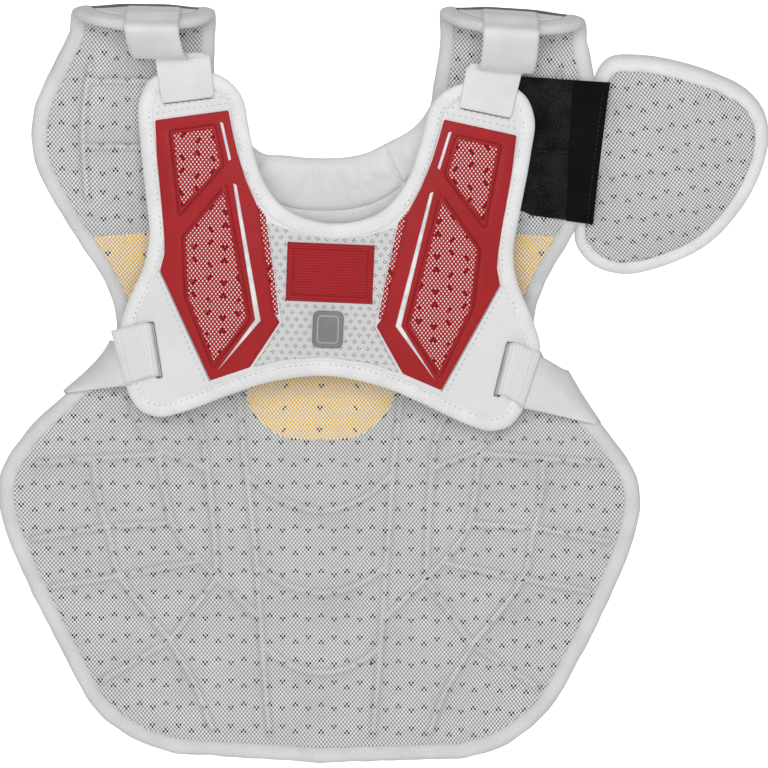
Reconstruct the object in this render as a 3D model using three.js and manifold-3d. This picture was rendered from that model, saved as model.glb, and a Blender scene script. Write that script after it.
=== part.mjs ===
// Catcher's chest protector: a quilted chest pad whose two shoulder wings curl over the shoulders,
// a back harness hung between them by shoulder and side straps, and an arm guard on the wearer's right.
// Millimetres. +X is the wearer's right, +Y the wearer's front, +Z up.
// The origin lies midway between the shoulders, where the wings' tongues bear on them.
import * as THREE from "three";
import { mergeVertices } from "three/addons/utils/BufferGeometryUtils.js";
import Module from "manifold-3d";

const wasm = await Module();
wasm.setup();

// Driving dimensions
const GAP = 0.3;                 // clearance between neighbouring pieces
const WEBBING = 38;              // width of every strap
const STRAP_THICK = 1.6;

// Chest pad: side profile of the lining, from the bottom hem to the shoulder
const CHEST_DEPTH = 104;         // lining's depth in front of the shoulders
const WING_LEAN = 0.4;           // slope at which the wings lean back towards the shoulders
const LEAN_START = -205;         // height where that lean sets in
const LEAN_BLEND = 25;
const TUCK_START = -300;         // height below which the hem tucks in
const TUCK = 18;
const HEM_Z = -510.8;
const BOWL = 7.0e-4;             // the sides come back by BOWL * x * x
const BEND_START = -6;           // height where a wing begins to curl over
const BEND_RADIUS = 16;
const BEND_END = THREE.MathUtils.degToRad(108);

// Small differences between the two sides as worn
const WAIST_SHIFT = 3.2;         // from the waist up everything sits a little to the right
const TONGUE_SHIFT = 2.6;        // and the shoulder tongues a little more
const PANEL_SHIFT = 2.6;         // below the waist the panel swings to the left
const PANEL_SHIFT_HEIGHT = -297;
const PANEL_SHIFT_REACH = 45;
const HEM_TILT = 0.016;          // the hem dips to the right
const RIGHT_WING_ROLL = 0.075;   // right shoulder slopes down outwards
const RIGHT_EDGE_PULL = 9;       // arm guard's strap pulls the right wing's edge in
const PULL_HEIGHT = -82;
const PULL_REACH = 58;
const PULLED_EDGE = [120, 200];  // from where to where across the wing
const ROLL_RANGE = [-120, -20];  // heights over which the right shoulder takes its slope
const WAIST_RANGE = [-265, -215];
const TONGUE_RANGE = [-45, 0];
const TILT_RANGE = [300, 480];   // depths below the shoulders over which the hem takes its tilt
const WING_RANGE = [-170, -40];  // heights over which the bowl flattens towards the shoulders
const WING_BOWL = 0.8;

// Chest pad: thickness
const PAD_EDGE = 8;
const PAD_FULL = 19;
const TONGUE_FULL = 12;
const PAD_TAPER = 26;
const BINDING_WIDTH = 9.3;
const CHANNEL_DEPTH = 4;
const CHANNEL_HALF = 4.5;
const CHANNEL_STEP = 36;
const TONGUE_THINNING = [-70, 5]; // heights over which the wing thins towards the tongue

// Pattern of the right half: seam of the binding, [x, height along the pattern]
const TORSO_EDGE = [
  [101, -505.5], [128, -496.5], [154, -476], [172.5, -443], [204, -378], [216.5, -341], [216.5, -318],
  [202, -292], [175, -264.5], [150, -239], [141, -222], [138.5, -208],
];
const WING_EDGE = [
  [138.5, -208], [141, -192], [149, -172], [176, -128.5], [194, -91], [193.5, -61], [183, -35], [172, -8],
];
const TONGUE_EDGE = [[172, -8], [169, 14], [165, 30], [156, 40], [143, 44]];
const TONGUE_INNER = [[88, -8], [87, 16], [89, 30], [96, 40], [107, 44]];
const NECK_SEAM = { half: 88, top: -8, drop: 117.5 };
const NECK_LINE = { half: 81.5, top: -18, drop: 73.2 };
const NECK_POWER = 2.4;
const ROWS = { torso: 17, wing: 11, tongue: 6 };
const COLLAR_ROWS = 8;           // rows up each side of the neck that the collar covers
const COLUMNS = [0, 0.08, 0.2, 0.36, 0.52, 0.68, 0.82, 0.93, 1];

// Sewn channels of the right half, [x, z] from end to end; the left half mirrors them
const CHANNELS = {
  sideUpper: [[114, -300], [157, -303], [200, -306]],
  underHarness: [[135, -265], [126, -284], [115, -296], [84, -310]],
  sideOuter: [[161, -306], [157, -338], [152, -354], [146, -384], [137, -399], [108, -435]],
  sideInner: [[115, -301], [110, -334], [107, -348], [96, -367], [77, -387]],
  ribOuter: [[93, -268], [84, -288], [80, -318], [77, -352], [75, -387]],
  centreColumn: [[58, -258], [55, -290], [50, -340], [46, -387], [43, -430], [40, -468], [37, -500]],
  sideMiddle: [[110, -350], [155, -353], [204, -361]],
  sideLower: [[89, -378], [142, -388], [190, -396]],
  kneeInner: [[76, -388], [43, -420]],
  kneeOuter: [[76, -391], [108, -435]],
  hipOuter: [[108, -435], [156, -464]],
  hipInner: [[108, -435], [90, -467], [78, -497]],
  wingOuter: [[166, -28], [170, -70], [168, -118]],
  wingUpper: [[121, -38], [166, -38]],
  wingMiddle: [[118, -83], [170, -83]],
};
const CENTRE_ARCS = [
  { half: 50, middle: -341, rise: 24 },
  { half: 46, middle: -400, rise: 19 },
  { half: 42, middle: -457, rise: 19 },
];

// Yellow foam inserts let into the lining, outlines [x, z]
const CENTRE_INSERT = [[28, -289], [45, -279], [54.5, -264], [54.5, -240], [40, -226]];
const WING_INSERT = [[112, -139], [170, -146], [150, -200], [128, -200]];
const CENTRE_INSERT_DEPTH = 9;
const WING_INSERT_DEPTH = 5;

// Harness, in its own frame: a runs to the wearer's right, b up
const HARNESS_AT = new THREE.Vector3(7.9, 0, -156.1);
const HARNESS_TURN = THREE.MathUtils.degToRad(2.43);
const HARNESS_MIDDLE_Y = 20;
const HARNESS_LEAN = 0.27;
const HARNESS_ARCH = 4.0e-4;     // back's curve along b
const HARNESS_WRAP = 1.2e-3;     // curve round the sides beyond the flat middle
const HARNESS_FLAT_HALF = 40;
const HARNESS_THICK = 3;
const HARNESS_BINDING = 10.5;
const HARNESS_GRID = 26;
const HARNESS_EDGE = [
  [0, 18.3], [30, 25.5], [45, 39.5], [54, 57.5], [60.5, 82], [66, 103], [79, 115.5], [104, 121],
  [129, 114], [138, 97], [136.5, 72], [130.5, 28], [127.8, 5], [131, -15], [142, -42], [147.5, -61],
  [146.5, -80], [141, -104.5], [132, -118], [118, -122.4], [103, -119], [64, -103], [40, -94.4], [0, -88.2],
];
const HARNESS_STATIONS = 72;
const SLOT = { top: [124.8, -57], bottom: [116.8, -96], width: 8 };

// Overlays and trim of the harness's right half; the left half mirrors them
const OVERLAY = [
  [75, 93], [126, 84.5], [124, 60], [119.5, 24], [117, 3], [116.8, -8], [119.5, -19.5], [81.7, -95],
  [54, -84.5], [34, -52], [37.8, -46.2], [51.2, 25], [54, 31], [61, 45], [67.8, 64], [72, 80],
];
const OVERLAY_THICK = 1.5;
const WINDOW_UPPER = [[86, 80], [113, 75.5], [105.5, 24.5], [79.5, 55.5]];
const WINDOW_LOWER = [[76.2, 36.5], [102, 4], [99, -36.5], [79.6, -81.5], [57.6, -50.5]];
const SLIVER = [[50.6, 27.5], [46.5, 21.5], [38.4, -24], [34.9, -45.4], [37, -45.4], [50.6, 25]];
const WINDOW_THICK = 0.7;
const STRIPE_SHORT = [[80.6, 84.8], [78.4, 84.3], [71.8, 59.5], [73.6, 58.3]];
const STRIPE_LONG = [[69.9, 43], [67.4, 42], [47.4, -51.4], [76.6, -87.6], [51.4, -51]];
const STRIPE_THICK = 0.8;
const SPACER = [[0, 6.6], [24, 10], [45, 17], [32.6, -52.5], [51.5, -84.5], [30, -78], [0, -75.2]];
const SPACER_THICK = 1.2;
const TRIM_LIFT = 0.6;           // label and patch stand off the mesh by their stitching
const LABEL = { width: 60.5, height: 40.5, b: -16.3, thick: 1.2, corner: 2 };
const RUBBER_PATCH = { width: 21.7, height: 26, b: -55.7, thick: 1.4, corner: 5, rim: 1.6, rimHeight: 0.6 };

// Straps
const TAB = { top: [[89, 131], [128, 130]], bottom: [[84.8, 101.6], [121.6, 96]], lift: 3.4 };
const SHOULDER_STRAPS = [
  { side: -1, tongueX: 120.5 },
  { side: 1, tongueX: 126.5 },
];
const STRAP_SEWN = [23, 30, 38]; // pattern heights where the strap lies on the tongue's patch
const STRAP_LIFT = 2.4;
const STRAP_EDGE = { v: 47, t: PAD_EDGE + 2.8 };
const STRAP_TIP = { v: 57, t: 7 };
// Slack of the strap from the tongue's tip to its tab: [share of the way, stand-off to the back, sag]
const STRAP_SLACK = [[0, 5.4, 5.4], [0.55, 9, 3.6], [1, 5, -4.2], [1, 0, 0]];
const STRAP_STOP = new THREE.Vector3(0, -0.4, 1.6);
// Elastic through its slot: [shift from the slot's middle, lift off the harness]
const ELASTIC_PATH = [[-13, -5.2], [-3, -5.2], [3.7, 2.6], [10, 3.4]];
const ELASTIC_SEAM = [[149, -66.5], [141.6, -102]];
const ELASTIC_SEAM_LIFT = 3.2;
const SEAM_GAP = 0.8;
const SIDE_FOLDS = [
  { side: -1, upper: -220, lower: -262 },
  { side: 1, upper: -247, lower: -284 },
];
const FOLD_TAIL = 34;            // length sewn flat to the front cover
const FOLD_LIFT = 2.2;

// Arm guard, in its own leaning frame: u runs to the wearer's right, w up
const GUARD_AT = new THREE.Vector3(251, 37.4, -98.5);
const GUARD_LEAN = THREE.MathUtils.degToRad(21.3);
const GUARD_EDGE = [
  [-53, 66], [-44, 78.5], [-28.5, 80.2], [-6, 77], [24, 66], [46.6, 53.6], [59, 39.5], [64.4, 22.3],
  [61.2, -0.3], [48, -29.8], [24.2, -58.4], [-6, -75], [-36.3, -82], [-56, -74], [-66, -60],
  [-66, -44], [-57, -18], [-50, 20],
];
const GUARD_THICK = 13;
const GUARD_DISH = 7.0e-4;
const GUARD_GRID = 24;
const GUARD_STATIONS = 44;
const GUARD_STRAP = { top: [[122, -34], [203.5, -36.5]], bottom: [[124, -128], [194, -139]] };
const GUARD_TAB = { top: [[181, -36], [203, -36.8]], bottom: [[177, -136], [193.6, -138.6]] };
const GUARD_STRAP_LIFT = 2.2;

// Finishes: colour, roughness
const FINISH = {
  lining: [0xbfbfbf, 0.85],
  white: [0xd9d9d9, 0.55],
  foam: [0xddc999, 0.9],
  red: [0xa22e33, 0.5],
  redMesh: [0xb04a4e, 0.8],
  grey: [0x8d8c8d, 0.6],
  black: [0x201e1f, 0.9],
};

const chestProtector = new THREE.Group();
const harness = new THREE.Group();
harness.position.copy(HARNESS_AT);
harness.rotation.y = HARNESS_TURN;
const armGuard = new THREE.Group();
armGuard.position.copy(GUARD_AT);
armGuard.rotation.x = GUARD_LEAN;
chestProtector.add(harness, armGuard);

const { smoothstep, lerp } = THREE.MathUtils;
const point2 = ([x, y]) => new THREE.Vector2(x, y);
const mirror = (points) => points.map(([x, y]) => [-x, y]).reverse();

// Solids and meshes

function place(parent, name, geometry, [color, roughness]) {
  const material = new THREE.MeshStandardMaterial({ color, roughness, metalness: 0 });
  const mesh = new THREE.Mesh(geometry, material);
  mesh.name = name;
  parent.add(mesh);
}

function signedVolume(positions, index) {
  let six = 0;
  const corner = [new THREE.Vector3(), new THREE.Vector3(), new THREE.Vector3()];
  for (let i = 0; i < index.length; i += 3) {
    corner.forEach((c, k) => c.fromArray(positions, 3 * index[i + k]));
    six += corner[0].dot(corner[1].clone().cross(corner[2]));
  }
  return six;
}

// Closed geometry from points and quads or triangles, turned so that its faces point out.
function shellGeometry(points, faces) {
  const index = faces.flatMap(([a, b, c, d]) => (d === undefined ? [a, b, c] : [a, b, c, a, c, d]));
  const positions = points.flatMap((p) => [p.x, p.y, p.z]);
  if (signedVolume(positions, index) < 0) index.reverse();
  const geometry = new THREE.BufferGeometry();
  geometry.setAttribute("position", new THREE.Float32BufferAttribute(positions, 3));
  geometry.setIndex(index);
  return geometry;
}

function toSolid(geometry) {
  const bare = geometry.clone();
  bare.deleteAttribute("normal");
  bare.deleteAttribute("uv");
  const merged = mergeVertices(bare, 1e-4);
  const vertProperties = new Float32Array(merged.getAttribute("position").array);
  const triVerts = new Uint32Array(merged.getIndex().array);
  return new wasm.Manifold(new wasm.Mesh({ numProp: 3, vertProperties, triVerts }));
}

function toGeometry(solid) {
  const mesh = solid.getMesh();
  const geometry = new THREE.BufferGeometry();
  geometry.setAttribute("position", new THREE.Float32BufferAttribute(mesh.vertProperties, 3));
  geometry.setIndex(Array.from(mesh.triVerts));
  return geometry;
}

// Solid lofted through sections with equal numbers of points, as a closed ring or with flat ends.
function loft(sections, ring = false) {
  const count = sections[0].length;
  const points = sections.flat();
  const faces = [];
  const steps = ring ? sections.length : sections.length - 1;
  for (let s = 0; s < steps; s++) {
    const here = s * count;
    const next = ((s + 1) % sections.length) * count;
    for (let k = 0; k < count; k++) {
      const turn = (k + 1) % count;
      faces.push([here + k, here + turn, next + turn, next + k]);
    }
  }
  if (!ring) {
    const last = (sections.length - 1) * count;
    for (let k = 1; k < count - 1; k++) {
      faces.push([0, k + 1, k], [last, last + k, last + k + 1]);
    }
  }
  return shellGeometry(points, faces);
}

// Slab between two equal grids of points, closed round its edge.
function slab(front, back) {
  const rows = front.length;
  const columns = front[0].length;
  const points = [...front.flat(), ...back.flat()];
  const under = rows * columns;
  const at = (r, c) => r * columns + c;
  const faces = [];
  for (let r = 0; r < rows - 1; r++) {
    for (let c = 0; c < columns - 1; c++) {
      const quad = [at(r, c), at(r, c + 1), at(r + 1, c + 1), at(r + 1, c)];
      const [i, j, k, l] = quad.map((corner) => corner + under);
      faces.push(quad, [i, l, k, j]);
    }
  }
  const rim = [];
  for (let c = 0; c < columns - 1; c++) rim.push(at(0, c));
  for (let r = 0; r < rows - 1; r++) rim.push(at(r, columns - 1));
  for (let c = columns - 1; c > 0; c--) rim.push(at(rows - 1, c));
  for (let r = rows - 1; r > 0; r--) rim.push(at(r, 0));
  rim.forEach((i, k) => {
    const j = rim[(k + 1) % rim.length];
    faces.push([j, i, i + under, j + under]);
  });
  return shellGeometry(points, faces);
}

// Ribbon of even thickness through cross lines [left, right], as seen from the side to which it thickens
// by someone who looks along it with its start at the top.
function ribbon(lines, thickness) {
  const lifted = lines.map(([left, right], i) => {
    const before = lines[Math.max(i - 1, 0)];
    const after = lines[Math.min(i + 1, lines.length - 1)];
    const along = after[0].clone().add(after[1]).sub(before[0]).sub(before[1]);
    const lift = along.cross(right.clone().sub(left)).setLength(thickness);
    return [left.clone().add(lift), right.clone().add(lift)];
  });
  return slab(lines, lifted);
}

// Outlines in a plane

function smoothPath(points, closed = false) {
  const path = points.map(([x, y]) => new THREE.Vector3(x, y, 0));
  return new THREE.CatmullRomCurve3(path, closed, "centripetal");
}

const flat = (p) => new THREE.Vector2(p.x, p.y);

// Outward direction at each station of a line that runs with its inside on the left.
function outwards(stations, closed) {
  return stations.map((p, i) => {
    const n = stations.length;
    const before = closed ? stations[(i + n - 1) % n] : stations[Math.max(i - 1, 0)];
    const after = closed ? stations[(i + 1) % n] : stations[Math.min(i + 1, n - 1)];
    const along = p.clone().sub(before).normalize().add(after.clone().sub(p).normalize()).normalize();
    return new THREE.Vector2(along.y, -along.x);
  });
}

const offset = (stations, directions, distance) =>
  stations.map((p, i) => p.clone().addScaledVector(directions[i], distance));

const counterclockwise = (outline) =>
  (THREE.ShapeUtils.isClockWise(outline) ? [...outline].reverse() : outline);

function grown(outline, distance) {
  const stations = counterclockwise(outline);
  return offset(stations, outwards(stations, true), distance);
}

// Prism of a plane outline, upright on the X-Z plane, long enough to cut through a slab in Y.
function prism(outline, holes = [], near = -300, far = 300) {
  const shape = new THREE.Shape(counterclockwise(outline));
  shape.holes = holes.map((hole) => new THREE.Path(hole));
  const geometry = new THREE.ExtrudeGeometry(shape, { depth: far - near, bevelEnabled: false });
  geometry.rotateX(Math.PI / 2);
  geometry.translate(0, far, 0);
  return toSolid(geometry);
}

// Sheet that follows a depth function over a plane outline, between two levels in Y.
function sheet(depth, spacing, outline, holes, near, far) {
  const box = new THREE.Box2().setFromPoints(outline);
  const first = box.min.clone().divideScalar(spacing).floor();
  const last = box.max.clone().divideScalar(spacing).ceil();
  const layer = (level) => {
    const rows = [];
    for (let j = first.y; j <= last.y; j++) {
      const row = [];
      for (let i = first.x; i <= last.x; i++) {
        const [a, b] = [i * spacing, j * spacing];
        row.push(new THREE.Vector3(a, depth(a, b) + level, b));
      }
      rows.push(row);
    }
    return rows;
  };
  const cut = toSolid(slab(layer(near), layer(far))).intersect(prism(outline, holes));
  return toGeometry(cut);
}

// Chest pad: its pattern and its forming

const softplus = (s) => Math.log1p(Math.exp(s));

// Side profile: depth, height and lean angle of the lining at pattern height v.
function profile(v) {
  const flatV = Math.min(v, BEND_START);
  const low = Math.max(0, TUCK_START - flatV) / (TUCK_START - HEM_Z);
  const lean = (flatV - LEAN_START) / LEAN_BLEND;
  const y = CHEST_DEPTH - WING_LEAN * LEAN_BLEND * softplus(lean) - TUCK * low * low;
  const slope = WING_LEAN / (1 + Math.exp(-lean)) - (2 * TUCK * low) / (TUCK_START - HEM_Z);
  const start = Math.atan(slope);
  if (v <= BEND_START) return { y, z: v, angle: start };
  const bend = Math.min(start + (v - BEND_START) / BEND_RADIUS, BEND_END);
  const straight = v - BEND_START - BEND_RADIUS * (bend - start);
  return {
    y: y - BEND_RADIUS * (Math.cos(start) - Math.cos(bend)) - straight * Math.sin(bend),
    z: BEND_START + BEND_RADIUS * (Math.sin(bend) - Math.sin(start)) + straight * Math.cos(bend),
    angle: bend,
  };
}

// Point of the formed pad at pattern place (x, v), t in front of the lining.
function chestPoint(x, v, t) {
  const { y, z, angle } = profile(v);
  const bowl = BOWL * lerp(1, WING_BOWL, smoothstep(v, ...WING_RANGE));
  const pull = x > 0 ? RIGHT_EDGE_PULL * smoothstep(x, ...PULLED_EDGE) : 0;
  const pulled = pull * Math.exp(-(((v - PULL_HEIGHT) / PULL_REACH) ** 2));
  const shoulder = x > 0 ? RIGHT_WING_ROLL * (x - NECK_SEAM.half) * smoothstep(v, ...ROLL_RANGE) : 0;
  const roll = shoulder + HEM_TILT * x * smoothstep(-v, ...TILT_RANGE);
  const swing = PANEL_SHIFT * Math.exp(-(((v - PANEL_SHIFT_HEIGHT) / PANEL_SHIFT_REACH) ** 2));
  const lifted = WAIST_SHIFT * smoothstep(v, ...WAIST_RANGE) + TONGUE_SHIFT * smoothstep(v, ...TONGUE_RANGE);
  const normal = new THREE.Vector3(2 * bowl * x * Math.cos(angle), Math.cos(angle), Math.sin(angle));
  const lining = new THREE.Vector3(x + lifted - swing - pulled, y - bowl * x * x, z - roll);
  return lining.addScaledVector(normal.normalize(), t);
}

const neckAngle = (row) => (row / ROWS.wing) * (Math.PI / 2);

function neckPoint({ half, top, drop }, angle) {
  const power = 2 / NECK_POWER;
  return new THREE.Vector2(half * Math.sin(angle) ** power, top - drop * Math.cos(angle) ** power);
}

// Rows of the right half's pattern, each from the middle or neck seam to the outer seam.
function patternRows() {
  const rows = [];
  const torso = smoothPath(TORSO_EDGE);
  const neckBottom = neckPoint(NECK_SEAM, 0).y;
  for (let i = 0; i < ROWS.torso; i++) {
    const u = i / ROWS.torso;
    rows.push([new THREE.Vector2(0, lerp(HEM_Z, neckBottom, u)), flat(torso.getPointAt(u))]);
  }
  const wing = smoothPath(WING_EDGE);
  for (let i = 0; i < ROWS.wing; i++) {
    const u = i / ROWS.wing;
    rows.push([neckPoint(NECK_SEAM, neckAngle(i)), flat(wing.getPointAt(u))]);
  }
  const outer = smoothPath(TONGUE_EDGE);
  const inner = smoothPath(TONGUE_INNER);
  for (let i = 0; i <= ROWS.tongue; i++) {
    const u = i / ROWS.tongue;
    rows.push([flat(inner.getPointAt(u)), flat(outer.getPointAt(u))]);
  }
  return rows;
}

const rows = patternRows();
const neckRow = ROWS.torso;
const endRow = rows.length - 1;
const across = ([inner, outer], u) => inner.clone().lerp(outer, u);

// Seam round the right half, from the neck's middle over the tongue and the side to the hem's middle.
const seam = [
  ...rows.slice(neckRow).map(([inner]) => inner),
  ...COLUMNS.slice(1, -1).map((u) => across(rows[endRow], u)),
  ...rows.map(([, outer]) => outer).reverse(),
  ...COLUMNS.slice(0, -1).reverse().map((u) => across(rows[0], u)),
];
const seamOut = outwards([...seam].reverse(), false).reverse();
seamOut[0].set(0, 1);
seamOut[seam.length - 1].set(0, -1);
seamOut[COLLAR_ROWS].copy(neckPoint(NECK_LINE, neckAngle(COLLAR_ROWS))).sub(seam[COLLAR_ROWS]).normalize();

function seamDistance(p) {
  const nearest = new THREE.Vector3();
  const here = new THREE.Vector3(p.x, p.y, 0);
  let best = Infinity;
  for (let i = 0; i < seam.length - 1; i++) {
    const edge = new THREE.Line3(
      new THREE.Vector3(seam[i].x, seam[i].y, 0),
      new THREE.Vector3(seam[i + 1].x, seam[i + 1].y, 0),
    );
    best = Math.min(best, edge.closestPointToPoint(here, true, nearest).distanceTo(here));
  }
  return best;
}

function padThickness(p) {
  const full = lerp(PAD_FULL, TONGUE_FULL, smoothstep(p.y, ...TONGUE_THINNING));
  return lerp(PAD_EDGE, full, smoothstep(seamDistance(p), 0, PAD_TAPER));
}

const onChest = (side, p, t) => chestPoint(side * p.x, p.y, t);

function padHalf(side) {
  const pattern = rows.map((row) => COLUMNS.map((u) => across(row, u)));
  const lining = pattern.map((row) => row.map((p) => onChest(side, p, 0)));
  const cover = pattern.map((row) => row.map((p) => onChest(side, p, padThickness(p))));
  return toSolid(slab(lining, cover));
}

// V-shaped groove along a sewn channel of the lining.
function channelCutter(side, points) {
  const path = smoothPath(points);
  const steps = Math.max(1, Math.round(path.getLength() / CHANNEL_STEP));
  const stations = path.getSpacedPoints(steps).map(flat);
  const sideways = outwards(stations, false);
  const sections = stations.map((p, i) => {
    const left = p.clone().addScaledVector(sideways[i], CHANNEL_HALF);
    const right = p.clone().addScaledVector(sideways[i], -CHANNEL_HALF);
    return [onChest(side, left, -1), onChest(side, right, -1), onChest(side, p, CHANNEL_DEPTH)];
  });
  return toSolid(loft(sections));
}

function allChannelCutters() {
  const cutters = [-1, 1].flatMap((side) =>
    Object.values(CHANNELS).map((points) => channelCutter(side, points)));
  for (const { half, middle, rise } of CENTRE_ARCS) {
    const arc = [-1, -0.6, 0, 0.6, 1].map((u) => [half * u, middle + rise * u * u]);
    cutters.push(channelCutter(1, arc));
  }
  return wasm.Manifold.union(cutters);
}

// Prism let into the lining to a given depth, square to the lining at its own middle.
function insertPrism(outline, depth, grow) {
  const middle = outline.reduce((sum, p) => sum.add(p), new THREE.Vector2()).divideScalar(outline.length);
  const stations = outline.map((p) => p.clone().sub(middle));
  const geometry = toGeometry(prism(grown(stations, grow), [], -40, depth + grow));
  geometry.rotateX(profile(middle.y).angle);
  const at = chestPoint(middle.x, middle.y, 0);
  return toSolid(geometry.translate(at.x, at.y, at.z));
}

function buildChestPad() {
  let pad = padHalf(-1).add(padHalf(1)).subtract(allChannelCutters());
  const centre = [...CENTRE_INSERT, ...mirror(CENTRE_INSERT)];
  const inserts = [
    ["foam_insert_center", centre.map(point2), CENTRE_INSERT_DEPTH],
    ["foam_insert_left", mirror(WING_INSERT).map(point2), WING_INSERT_DEPTH],
    ["foam_insert_right", WING_INSERT.map(point2), WING_INSERT_DEPTH],
  ];
  for (const [name, outline, depth] of inserts) {
    place(chestProtector, name, toGeometry(pad.intersect(insertPrism(outline, depth, 0))), FINISH.foam);
    pad = pad.subtract(insertPrism(outline, depth, GAP));
  }
  place(chestProtector, "chest_pad", toGeometry(pad), FINISH.lining);
}

// Bead of an edge binding: [share of its width, share of the edge's thickness, stand-off] round its section
const BEAD = [[0, 0, -0.8], [0.6, 0, -0.8], [1, 0.3, 0], [1, 0.7, 0], [0.6, 1, 0.8], [0, 1, 0.8]];
const beadSection = (width, thick) =>
  BEAD.map(([out, level, standOff]) => [Math.max(GAP, out * width), level * thick + standOff]);

function buildChestBinding() {
  const section = (side, i) =>
    beadSection(BINDING_WIDTH, PAD_EDGE).map(([out, t]) =>
      onChest(side, seam[i].clone().addScaledVector(seamOut[i], out), t));
  const indices = Array.from({ length: seam.length - COLLAR_ROWS }, (_, i) => i + COLLAR_ROWS);
  const right = indices.map((i) => section(1, i));
  const left = indices.slice(0, -1).reverse().map((i) => section(-1, i));
  place(chestProtector, "chest_binding", loft([...right, ...left]), FINISH.white);
}

const COLLAR_END_GAP = 0.01;     // share by which the collar stops short of the binding
// Collar: [share of its width from seam to neckline, lining-side level, front level]
const COLLAR_SECTION = [[0, 0, 8], [0.3, -2.5, 10.5], [0.75, -2.5, 10], [1, 2, 6]];

function buildCollar() {
  const angles = Array.from({ length: 2 * COLLAR_ROWS + 1 }, (_, i) =>
    neckAngle((i - COLLAR_ROWS) * (1 - COLLAR_END_GAP)));
  const sections = angles.map((angle) => {
    const side = Math.sign(angle) || 1;
    const low = neckPoint(NECK_SEAM, Math.abs(angle));
    const high = neckPoint(NECK_LINE, Math.abs(angle));
    const start = low.clone().addScaledVector(high.clone().sub(low).normalize(), 2 * GAP);
    const lining = COLLAR_SECTION.map(([u, t]) => onChest(side, start.clone().lerp(high, u), t));
    const front = COLLAR_SECTION.map(([u, , t]) => onChest(side, start.clone().lerp(high, u), t));
    return [...lining, ...front.reverse()];
  });
  place(chestProtector, "collar_pad", loft(sections), FINISH.white);
}

const PATCH_ROWS = 4;            // rows at the tongue's end that its patch covers
const PATCH_THICK = 1;

// White patch over the outer side of each tongue's end.
function buildShoulderPatches() {
  const patchRows = rows.slice(-PATCH_ROWS);
  const patch = patchRows.map((row) => COLUMNS.map((u) => across(row, u)));
  for (const [name, side] of [["shoulder_patch_left", -1], ["shoulder_patch_right", 1]]) {
    const layer = (lift) => patch.map((row) => row.map((p) => onChest(side, p, padThickness(p) + lift)));
    place(chestProtector, name, slab(layer(GAP), layer(GAP + PATCH_THICK)), FINISH.white);
  }
}

// Harness

function harnessDepth(a, b) {
  const beyond = Math.max(0, Math.abs(a) - HARNESS_FLAT_HALF);
  return HARNESS_MIDDLE_Y - HARNESS_LEAN * b + HARNESS_ARCH * b * b + HARNESS_WRAP * beyond * beyond;
}

const onHarness = ([a, b], lift) => new THREE.Vector3(a, harnessDepth(a, b) - lift, b);

function harnessSheet(outline, holes, lift, thick) {
  const near = -lift - thick;
  return sheet(harnessDepth, HARNESS_GRID, outline.map(point2), holes.map((h) => h.map(point2)), near, -lift);
}

const harnessPath = smoothPath([...HARNESS_EDGE, ...mirror(HARNESS_EDGE).slice(1, -1)], true);
const harnessEdge = harnessPath.getSpacedPoints(HARNESS_STATIONS).slice(1).map(flat).reverse();
const harnessOut = outwards(harnessEdge, true);

function slotOutline(side) {
  const top = point2(SLOT.top);
  const bottom = point2(SLOT.bottom);
  const along = top.clone().sub(bottom).normalize();
  const half = new THREE.Vector2(along.y, -along.x).multiplyScalar(SLOT.width / 2);
  top.addScaledVector(along, 3 * GAP);
  bottom.addScaledVector(along, -3 * GAP);
  const corners = [
    bottom.clone().sub(half), bottom.clone().add(half), top.clone().add(half), top.clone().sub(half),
  ];
  return corners.map((p) => new THREE.Vector2(side * p.x, p.y));
}

function buildHarnessPlate() {
  const inset = offset(harnessEdge, harnessOut, -HARNESS_BINDING);
  const slots = [slotOutline(-1), slotOutline(1)];
  const plate = sheet(harnessDepth, HARNESS_GRID, inset, slots, 0, HARNESS_THICK);
  place(harness, "harness_plate", plate, FINISH.white);
  const sections = harnessEdge.map((p, i) =>
    beadSection(HARNESS_BINDING, HARNESS_THICK).map(([out, t]) => {
      const q = p.clone().addScaledVector(harnessOut[i], out - HARNESS_BINDING);
      return new THREE.Vector3(q.x, harnessDepth(q.x, q.y) + t, q.y);
    }));
  place(harness, "harness_binding", loft(sections, true), FINISH.white);
}

function buildOverlays() {
  const top = GAP + OVERLAY_THICK;
  for (const [side, turn] of [["right", (p) => p], ["left", mirror]]) {
    const windows = { window_upper: WINDOW_UPPER, window_lower: WINDOW_LOWER };
    const holes = Object.values(windows).map(turn);
    place(harness, `red_overlay_${side}`, harnessSheet(turn(OVERLAY), holes, GAP, OVERLAY_THICK), FINISH.red);
    for (const [name, outline] of Object.entries({ ...windows, mesh_sliver: SLIVER })) {
      const inset = grown(turn(outline).map(point2), -GAP).map((p) => p.toArray());
      const mesh = harnessSheet(inset, [], GAP, WINDOW_THICK);
      place(harness, `${name}_${side}`, mesh, FINISH.redMesh);
    }
    for (const [name, outline] of [["stripe_short", STRIPE_SHORT], ["stripe_long", STRIPE_LONG]]) {
      const stripe = harnessSheet(turn(outline), [], top + GAP, STRIPE_THICK);
      place(harness, `${name}_${side}`, stripe, FINISH.white);
    }
  }
  const spacer = [...SPACER, ...mirror(SPACER).slice(1, -1)];
  place(harness, "spacer_mesh", harnessSheet(spacer, [], GAP, SPACER_THICK), FINISH.white);
}

function roundedRectangle(width, height, corner) {
  const [x, y] = [width / 2 - corner, height / 2 - corner];
  const shape = new THREE.Shape();
  shape.absarc(x, y, corner, 0, Math.PI / 2);
  shape.absarc(-x, y, corner, Math.PI / 2, Math.PI);
  shape.absarc(-x, -y, corner, Math.PI, 1.5 * Math.PI);
  shape.absarc(x, -y, corner, 1.5 * Math.PI, 2 * Math.PI);
  return shape;
}

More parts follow.
